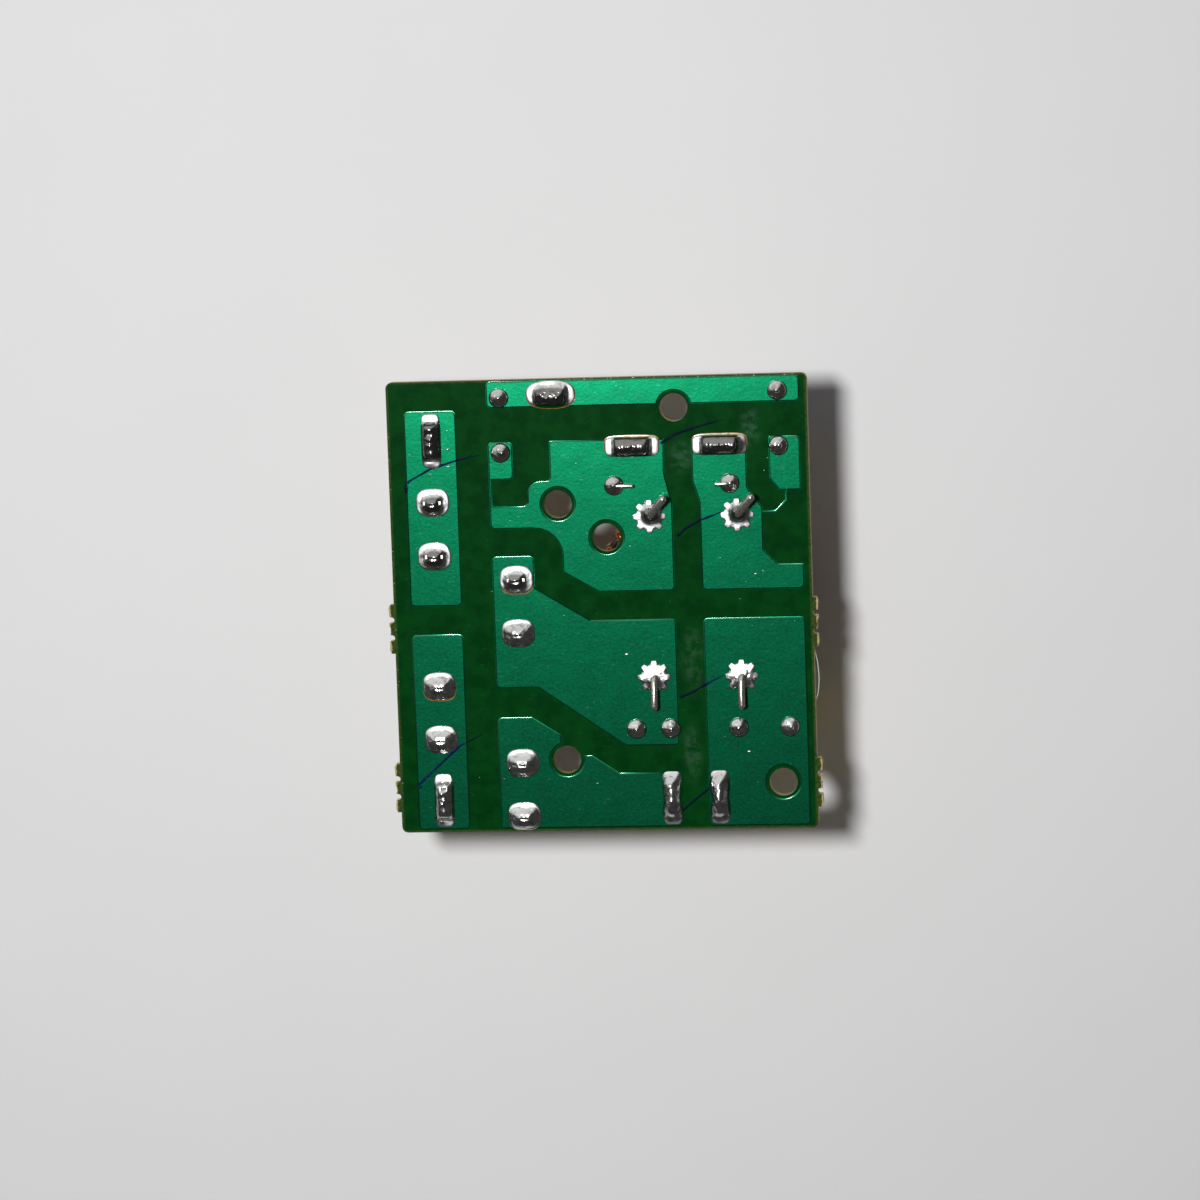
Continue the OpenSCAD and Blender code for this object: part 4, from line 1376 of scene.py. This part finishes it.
    @staticmethod
    def _clip_joints(fuse: tuple, seed: int, collared: int) -> list[Mound]:
        """Lays out the four joints under a pair of fuse clips.

        Args:
            fuse: Middle of the fuse.
            seed: Seed of the joints' unevenness.
            collared: How many joints, from the top, show a wide collar round a narrow hump.

        Returns:
            The joints.
        """
        rng = random.Random(seed)
        out = []
        for i, dy in enumerate((17.5, 9.6, -9.6, -17.5)):
            jitter = rng.uniform(-0.2, 0.2)
            reach = (1.3, 1.2) if i < collared else (1.75, 1.35)
            humps = (
                (jitter * 0.5, -0.25, *reach, 0.85, 3.2),
                (jitter, 0.0, 0.5, 0.16, 0.05, 2),
                (jitter * 0.5, -0.55, 0.6, 0.16, 0.05, 2),
                (0.0, 0.85, 0.8, 0.3, -0.05, 2),
            )
            shape = {"square": 2.8, "pillow": 7, "rough": 0.06, "ripple": 0.012 + 0.006 * (i % 2)}
            out.append(Mound(fuse[0], fuse[1] + dy, 5.0, 4.25, 0.26, seed + i, humps=humps, **shape))
        return out

    @staticmethod
    def _dot(x: float, y: float, seed: int, off: float = 0.0) -> Mound:
        """Makes a small round joint with the end of its lead as a low tip."""
        humps = ((0.1 + off, 0.05, 0.34, 0.34, 0.3, 3), (0.75, -0.7, 0.35, 0.35, -0.1, 2))
        return Mound(x, y, 3.0, 3.0, 0.95, seed, pillow=2.2, rough=0.06, wobble=0.03, humps=humps)

    @staticmethod
    def _star(x: float, y: float, seed: int) -> Mound:
        """Makes a choke joint with eight teeth, whose solder climbs the bent lead.

        Args:
            x: Middle across the board.
            y: Middle along the board.
            seed: Seed of its unevenness.

        Returns:
            The joint.
        """
        upper = ((0.3, 0.35, 1.1, 1.05, 0.95, 3), (-0.5, 0.5, 0.4, 0.4, 0.12, 2))
        lower = ((0.0, -1.1, 0.5, 0.9, 0.6, 2), (0.0, -0.45, 2.0, 1.6, 0.3, 2))
        humps = upper if y > 0 else lower
        return Mound(x, y, 5.0, 5.0, 0.2, seed, pillow=8, rough=0.05, wobble=0.02, teeth=8, humps=humps)

    def build(self, palette: Palette) -> None:
        """Makes one piece for each group of joints.

        Args:
            palette: The materials.
        """
        for node, mounds in self.joints.items():
            draft = Draft()
            for mound in mounds:
                mound.shell(draft)
            # Groups of small round joints take the solder whose high humps carry less burnt flux and less
            # painted shade
            finish = "solder_light_burn_and_shade" if all(mound.length < 4 for mound in mounds) else "solder"
            draft.finish(node + "_joints", "solder", palette[finish], [node])


@dataclass
class Choke:
    """Windings of the common mode choke, with the leads bent over on the solder side."""

    core_r: float = 14.0
    bore_r: float = 8.0
    core_z: float = 1.25
    core_h: float = 12.0
    wire_r: float = 0.55
    gap: float = 0.15
    turns: int = 11
    step: float = 10.6
    first: float = -58.0
    bend: float = 0.95
    lead_rise: float = 0.75
    low_tip: tuple = (-4.7, 0.8)
    high_tip: tuple = (2.6, 3.1, 1.6)
    coated: float = 4.6
    coat: float = 0.09
    coat_taper: float = 1.2

    def path(self, side: int) -> list[Vector]:
        """Gives the corners of one winding.

        Args:
            side: 1 for the right-hand winding, -1 for the left-hand one.

        Returns:
            The corners, from the tip of the lower lead to the tip of the upper one.
        """
        clear = self.gap + self.wire_r
        outer, inner = self.core_r + clear, self.bore_r - clear
        low, high = self.wire_r, self.core_z + self.core_h + clear
        over = FACE + self.lead_rise

        def at(r: float, a: float, z: float) -> Vector:
            """Gives a corner by its distance from the core's middle, its angle and its height."""
            a = math.radians(a)
            return Vector((CHOKE[0] + side * r * math.cos(a), CHOKE[1] + r * math.sin(a), z))

        pin_low = Vector((CHOKE[0] + side * PIN_DX, CHOKE[1] - PIN_DY, 0))
        pin_high = Vector((CHOKE[0] + side * PIN_DX, CHOKE[1] + PIN_DY, 0))
        points = [
            pin_low + Vector((0, self.low_tip[0], over + self.low_tip[1])),
            pin_low + Vector((0, 0, over)),
            pin_low + Vector((0, 0, UNDER - 0.3)),
            at(outer, self.first, high),
        ]
        for i in range(self.turns):
            a = self.first + i * self.step
            points += [at(outer, a, low), at(inner, a, low), at(inner, a, high)]
            if i < self.turns - 1:
                points.append(at(outer, a + self.step, high))
        tip = Vector((*self.high_tip[:2], over + self.high_tip[2]))
        return points + [pin_high + Vector((0, 0, high)), pin_high + Vector((0, 0, over)), pin_high + tip]

    def _thickness(self, run: float, total: float) -> float:
        """Gives the radius along the wire, which is thicker where solder coats its upper end.

        Args:
            run: Distance from the tip of the lower lead.
            total: Length of the whole wire.

        Returns:
            The radius.
        """
        past = self.coated - total + run
        return self.wire_r + self.coat * min(1.0, max(0.0, past / self.coat_taper))

    def build(self, palette: Palette) -> None:
        """Makes both windings.

        Args:
            palette: The materials.
        """
        for name, side in (("choke_winding_left", -1), ("choke_winding_right", 1)):
            path = rounded_path(self.path(side), self.bend)
            draft = Draft()
            total = sum((b - a).length for a, b in zip(path, path[1:]))
            draft.rings(tube_rings(path, lambda run: self._thickness(run, total)))
            draft.finish(name + "_wire", "enamelled_copper", palette["enamelled_copper"], [name])


@dataclass
class ThinLeads:
    """Round leads of the resistor, bent over on the solder side."""

    radius: float = 0.3
    body_half: float = 4.7
    pitch_half: float = 8.45
    bend: float = 0.45

    def build(self, palette: Palette) -> None:
        """Makes both leads as one piece.

        Args:
            palette: The materials.
        """
        draft = Draft()
        middle, y = RESISTOR
        body, lying = UNDER - 1.95, COPPER + 0.65
        for side, reach in ((-1, 3.0), (1, 2.2)):
            x = middle + side * self.pitch_half
            corners = [
                Vector((middle + side * self.body_half, y, body)),
                Vector((x, y, body)),
                Vector((x, y, lying)),
                Vector((x - side * reach, y - 0.1, lying)),
            ]
            draft.rings(tube_rings(rounded_path(corners, self.bend), lambda run: self.radius, 12))
        draft.finish("resistor_wire", "tinned_lead", palette["tinned_lead"], ["resistor_leads"])


@dataclass
class DippedDisc:
    """A Y capacitor: a disc dipped in epoxy that has run down its leads."""

    name: str
    x: float
    y: float
    radius: float = 4.75
    half: float = 2.1
    hang: float = 2.2
    fullness: float = 0.4
    slices: int = 32
    skirt_slices: int = 12

    def build(self, palette: Palette) -> None:
        """Makes the coated disc as one swollen lens with two short skirts.

        Args:
            palette: The materials.
        """
        draft = Draft()
        cz = UNDER - self.hang - self.radius
        rings = []
        for k in range(self.slices + 1):
            a = math.pi * (k / self.slices)
            x = self.x - self.half * math.cos(a)
            r = self.radius * max(math.sin(a), 0.02) ** self.fullness
            rings.append([(x, self.y + r * math.cos(t), cz + r * math.sin(t)) for t in angles(64)])
        draft.rings(rings)
        for side in (-1, 1):
            y = self.y + side * Y_PITCH / 2
            skirt = []
            for k in range(self.skirt_slices + 1):
                t = k / self.skirt_slices
                z = cz + t * (self.radius + 0.6)
                r = 0.45 + 0.5 * (1 - t) ** 0.8
                skirt.append([(self.x + r * math.cos(b), y + r * math.sin(b), z) for b in angles(20)])
            draft.rings(skirt)
        draft.finish(self.name + "_coating", "disc_coating", palette["disc_coating"], [self.name])


@dataclass
class Marks:
    """Marks on the solder side: pen strokes, flux round the joints, tiny splashes of solder."""

    strokes: tuple = (
        ((-28.19, 16.96), (-28.23, 18.52), (-24.44, 20.56), (-20.57, 21.7), (-17.17, 22.41)),
        ((-27.57, -26.53), (-28.3, -26.38), (-24.44, -22.86), (-21.76, -20.44), (-18.13, -18.65)),
        ((9.31, 23.48), (11.32, 24.71), (13.89, 25.57), (16.24, 26.21), (18.8, 26.74)),
        ((11.33, 9.87), (12.54, 11.01), (14.66, 12.14), (17.95, 13.34)),
        ((11.01, -13.75), (12.86, -13.05), (15.35, -11.63), (17.57, -10.56)),
        ((10.5, -30.86), (12.88, -28.81), (15.39, -26.87), (16.14, -26.51)),
    )
    width: float = 0.44
    # The larger beads of solder: place and radius
    beads: tuple = (
        (-21.9, 23.3, 0.2),
        (3.4, -7.3, 0.22),
        (-21.9, 20.8, 0.12),
        (20.9, -21.9, 0.15),
        (6.8, 14.9, 0.12),
        (-3.0, 30.1, 0.12),
        (-8.9, 29.7, 0.1),
        (22.6, 4.2, 0.12),
        (4.4, 8.6, 0.1),
        (-13.9, 33.0, 0.1),
    )

    @staticmethod
    def surface() -> BVHTree:
        """Gives the top of the board and its lands for pens to run over.

        Returns:
            The surface, in metres.
        """
        points, faces = [], []
        for name in ["laminate", *(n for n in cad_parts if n.startswith("land_"))]:
            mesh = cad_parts[name].data
            base = len(points)
            points += [v.co.copy() for v in mesh.vertices]
            faces += [tuple(base + i for i in p.vertices) for p in mesh.polygons]
        return BVHTree.FromPolygons(points, faces)

    def _stroke(self, draft: Draft, tree: BVHTree, points: Sequence[tuple], seed: int) -> None:
        """Adds one pen stroke that follows the surface.

        Args:
            draft: The mesh to add to.
            tree: The surface.
            points: Corners of the stroke.
            seed: Seed of its unevenness.
        """
        path = rounded_path([Vector((*p, 0.0)) for p in points], 3.0, 8)
        fine = []
        for a, b in zip(path, path[1:]):
            n = max(1, int((b - a).length / 0.18))
            fine += [a.lerp(b, i / n) for i in range(n)]
        fine.append(path[-1])
        rings = []
        for i, p in enumerate(fine):
            t = i / (len(fine) - 1)
            ahead = fine[min(i + 1, len(fine) - 1)] - fine[max(i - 1, 0)]
            side = Vector((-ahead.y, ahead.x, 0)).normalized()
            press = 0.75 + 0.35 * noise.noise(Vector((t * 7, seed * 2.0, 0)))
            landing = 1.5 - 0.5 * min(1.0, t * 8)
            half = self.width / 2 * press * landing * min(1.0, 0.5 + 20 * t, 0.3 + 2.4 * (1 - t))
            ring = []
            for s in (-1, 1):
                q = p + side * half * s
                z = self._height(tree, q.x, q.y) or FACE
                if z > COPPER - 0.02:
                    z = COPPER
                pair = [(q.x, q.y, z + 0.012), (q.x, q.y, z - 0.04)]
                ring += pair if s > 0 else pair[::-1]
            rings.append(ring)
        draft.rings(rings)

    @staticmethod
    def _height(tree: BVHTree, x: float, y: float) -> float:
        """Gives the height of the solder side at a place, or 0 over a hole."""
        hit = tree.ray_cast(Vector((x * MM, y * MM, 0.03)), Vector((0, 0, -1)))[0]
        return hit.z / MM if hit and hit.z / MM > FACE - 0.05 else 0.0

    @staticmethod
    def _stains(palette: Palette) -> None:
        """Makes the brown flux that shows round the edge of some joints.

        Args:
            palette: The materials.
        """
        draft = Draft()
        films = [(x, y + 0.22, 8.3, 3.15, 0.05, int(x), 5) for x, y in OUTPUT_TABS]
        films.append((EARTH_TAB[0], EARTH_TAB[1] - 0.05, 7.4, 4.2, 0.04, 9, 2.6))
        films += [(x, y, 5.0, 4.3, 0.04, 8, 3.2) for x, y in CLIP_STAINS]
        for *place, square in films:
            Mound(*place, square=square, pillow=9, rough=0.01).shell(draft, 10, 72)
        draft.finish("flux_stains", "solder", palette["flux_stain"])

    def _splashes(self, tree: BVHTree, palette: Palette) -> None:
        """Makes the tiny beads of solder, most of them along the top and left edges.

        Args:
            tree: The surface.
            palette: The materials.
        """
        rng = random.Random(4)

        def scatter(count: int, *spans: tuple) -> list[tuple]:
            """Draws beads, each with a place across, a place along and a radius."""
            return [tuple(rng.uniform(*span) for span in spans) for _ in range(count)]

        beads = list(self.beads)
        beads += scatter(14, (-29, 29), (-32, 32), (0.04, 0.07))
        beads += scatter(46, (-17, 29), (HALF_L - 0.08, HALF_L - 0.2), (0.04, 0.08))
        beads += scatter(22, (-HALF_W + 0.1, -HALF_W + 0.4), (-30, 32), (0.03, 0.06))
        draft = Draft()
        for x, y, r in beads:
            z = self._height(tree, x, y)
            if not z:
                continue
            long = r * (1 + rng.random() * 1.4)
            turn = rng.random() * math.pi
            rings = []
            for k in range(6):
                a = math.pi / 2 * k / 5
                c, top = math.cos(a), z - 0.02 + r * 0.8 * math.sin(a)
                around = [b + turn for b in angles(12)]
                rings.append([(x + long * c * math.cos(b), y + r * c * math.sin(b), top) for b in around])
            rings[-1] = [tuple(Vector(p).lerp(Vector((x, y, z + r * 0.78)), 0.9)) for p in rings[-2]]
            draft.rings(rings)
        draft.finish("solder_splashes", "solder", palette["solder"])

    def build(self, palette: Palette) -> None:
        """Makes the strokes, the flux stains and the splashes.

        Args:
            palette: The materials.
        """
        tree = self.surface()
        draft = Draft()
        for i, points in enumerate(self.strokes):
            self._stroke(draft, tree, points, i)
        draft.finish("pen_strokes", "solder_mask", palette["ink"])
        self._stains(palette)
        self._splashes(tree, palette)


@dataclass
class TornEdges:
    """Torn fibres on the breakaway stubs, and a thin pale strand that hangs on the right side, whose pale
    cyan-green is a painted highlight along that edge.
    """

    out: float = 0.78
    reach: float = 3.55
    bite_off: float = 1.325
    bite_clear: float = 0.42
    # Corners of the pale strand, a painted highlight along the right edge
    arc: tuple = (
        (30.70, -6.6, 17.9),
        (31.2, -9.0, 17.9),
        (31.36, -11.3, 17.85),
        (31.2, -13.4, 17.85),
        (30.70, -15.0, 17.9),
    )

    def build(self, palette: Palette) -> None:
        """Makes the fibres and the pale strand, whose colour is a painted highlight.

        Args:
            palette: The materials.
        """
        rng = random.Random(12)
        draft = Draft()
        for side in (-1, 1):
            for middle in STUBS_Y:
                for _ in range(70):
                    off = rng.uniform(-self.reach, self.reach)
                    if abs(abs(off) - self.bite_off) >= self.bite_clear:
                        self._fibre(draft, rng, side, middle + off)
        draft.finish("torn_fibres", "laminate", palette["torn_fibre"], smooth=False)
        path = rounded_path([Vector(corner) for corner in self.arc], 6.0, 8)
        # The strand on the right edge, coloured pale as a painted highlight
        painted_highlight_strand = Draft()
        painted_highlight_strand.rings(tube_rings(path, lambda run: 0.03 + 0.05 * math.sin(math.pi * min(run / 8.8, 1.0)), 8))
        painted_highlight_strand.finish("edge_painted_highlight", "laminate", palette["painted_highlight_strand"])

    def _fibre(self, draft: Draft, rng: random.Random, side: int, y: float) -> None:
        """Adds one torn fibre as a thin wedge.

        Args:
            draft: The mesh to add to.
            rng: Source of the random draws.
            side: -1 for the left edge, 1 for the right one.
            y: Place along the edge.
        """
        z = rng.uniform(UNDER + 0.1, FACE - 0.12)
        root, tip = HALF_W + 0.35, HALF_W + rng.uniform(0.55, self.out)
        half, rise = rng.uniform(0.05, 0.16), rng.uniform(0.03, 0.09)
        slant = rng.uniform(-0.15, 0.15)
        corners = ((-half, -rise), (half, -rise), (half, rise), (-half, rise))
        ring = [(side * root, y + dy, z + dz) for dy, dz in corners]
        end = [(side * tip, y + slant + (p[1] - y) * 0.3, z + (p[2] - z) * 0.3) for p in ring]
        draft.rings([ring, end])


@dataclass
class Studio:
    """Floor, light and camera."""

    camera_at: tuple = (80.77, 85.9, 702.87)
    camera_turn: tuple = (-7.265, 6.516, -1.921)
    lens: float = 142.8
    key_at: tuple = (-84.0, 104.0, 520.0)
    key_size: tuple = (75.0, 120.0)
    key_power: float = 2.4
    fill: float = 0.085
    bright_side: tuple = (-0.42, 0.83, 0.36)

    def build(self) -> None:
        """Makes the floor, the lamp, the world and the camera."""
        self._floor()
        self._key()
        self._world()
        camera = bpy.data.objects.new("camera", bpy.data.cameras.new("camera"))
        camera.data.lens = self.lens
        camera.data.sensor_width = 36.0
        camera.data.clip_start, camera.data.clip_end = 0.01, 20.0
        camera.location = Vector(self.camera_at) * MM
        camera.rotation_euler = [math.radians(a) for a in self.camera_turn]
        bpy.context.scene.collection.objects.link(camera)
        bpy.context.scene.camera = camera
        bpy.context.scene.view_settings.view_transform = "Standard"

    def _floor(self) -> None:
        """Lays a plain pale floor under the parts."""
        mesh = bpy.data.meshes.new("floor")
        half = 3.0
        corners = [(-half, -half, 0), (half, -half, 0), (half, half, 0), (-half, half, 0)]
        mesh.from_pydata(corners, [], [(0, 1, 2, 3)])
        floor = bpy.data.objects.new("floor", mesh)
        material = bpy.data.materials.new("floor")
        material.use_nodes = True
        graph = Graph(material.node_tree)
        shader = material.node_tree.nodes["Principled BSDF"]
        shader.inputs["Roughness"].default_value = 0.9
        shader.inputs["Specular IOR Level"].default_value = 0.1
        tone = graph.noise(graph.place(), 0.05, 2.0)
        graph.feed(shader.inputs["Base Color"], graph.mix(tone, (0.80, 0.80, 0.80), (0.78, 0.78, 0.78)))
        mesh.materials.append(material)
        bpy.context.scene.collection.objects.link(floor)

    def _key(self) -> None:
        """Hangs the main lamp up on the left."""
        lamp = bpy.data.lights.new("key", "AREA")
        lamp.shape = "ELLIPSE"
        lamp.size, lamp.size_y = self.key_size[0] * MM, self.key_size[1] * MM
        lamp.energy = self.key_power
        key = bpy.data.objects.new("key", lamp)
        key.location = Vector(self.key_at) * MM
        key.rotation_euler = (-key.location).to_track_quat("-Z", "Y").to_euler()
        bpy.context.scene.collection.objects.link(key)

    def _world(self) -> None:
        """Sets a white world for the camera, a soft fill, and a bright side for glossy metal."""
        world = bpy.data.worlds.new("studio")
        bpy.context.scene.world = world
        world.use_nodes = True
        graph = Graph(world.node_tree)
        background = world.node_tree.nodes["Background"]
        path = graph.add("ShaderNodeLightPath")
        way = graph.add("ShaderNodeTexCoord").outputs["Generated"]
        towards = graph.add("ShaderNodeVectorMath", operation="DOT_PRODUCT")
        graph.feed(towards.inputs[0], way)
        towards.inputs[1].default_value = self.bright_side
        bright = graph.span(towards.outputs["Value"], 0.42, 0.8, 0.05, 1.0)
        level = graph.mix(path.outputs["Is Glossy Ray"], (self.fill,) * 3, bright)
        seen = graph.math("MAXIMUM", path.outputs["Is Camera Ray"], path.outputs["Is Transmission Ray"])
        graph.feed(background.inputs["Color"], graph.mix(seen, level, (1.0, 1.0, 1.0)))
        background.inputs["Strength"].default_value = 1.0


def dress_solids(palette: Palette) -> None:
    """Gives the solids that stay their materials.

    Args:
        palette: The materials.
    """
    kept = {"laminate": "laminate"}
    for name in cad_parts:
        if name.endswith("_glass"):
            kept[name] = "fuse_glass"
        elif name.startswith("fuse_") and name.endswith("_wire"):
            kept[name] = "fuse_element"
        elif name in ("x_capacitor_leads", "y_capacitor_left_leads", "y_capacitor_right_leads"):
            kept[name] = "tinned_lead"
    for name, material in kept.items():
        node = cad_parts[name]
        node.data.materials.clear()
        node.data.materials.append(palette[material])


def soft_edged_parts() -> list[SoftEdged]:
    """Lists the solids that are shown with broken edges.

    Returns:
        The solids.
    """
    parts = []
    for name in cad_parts:
        if name.startswith("tab_"):
            parts.append(SoftEdged(name, "tinned_brass", 0.06))
        elif name.startswith("clip_"):
            parts.append(SoftEdged(name, "clip_metal", 0.05))
        elif "_cap_" in name:
            parts.append(SoftEdged(name, "cap_metal", 0.12, 3))
    parts += [
        SoftEdged("choke_core", "core_coating", 0.3, 3),
        SoftEdged("choke_divider", "divider_plastic", 0.2, 3),
        SoftEdged("x_capacitor_case", "case_plastic", 0.25, 3),
        SoftEdged("x_capacitor_resin", "resin", 0.1),
        SoftEdged("resistor_body", "resistor_coating", 0.15, 3),
    ]
    return parts


def main() -> None:
    """Builds every piece in order."""
    logging.basicConfig(level=logging.INFO, format="%(message)s")
    Studio().build()
    palette = Palette()
    dress_solids(palette)
    for name in sorted(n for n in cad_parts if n.startswith("land_")):
        Land(name).build(palette)
    for part in soft_edged_parts():
        part.build(palette)
    SolderSide().build(palette)
    Choke().build(palette)
    ThinLeads().build(palette)
    DippedDisc("y_capacitor_left", *Y_LEFT).build(palette)
    DippedDisc("y_capacitor_right", *Y_RIGHT).build(palette)
    Marks().build(palette)
    TornEdges().build(palette)


if __name__ == "__main__":
    main()
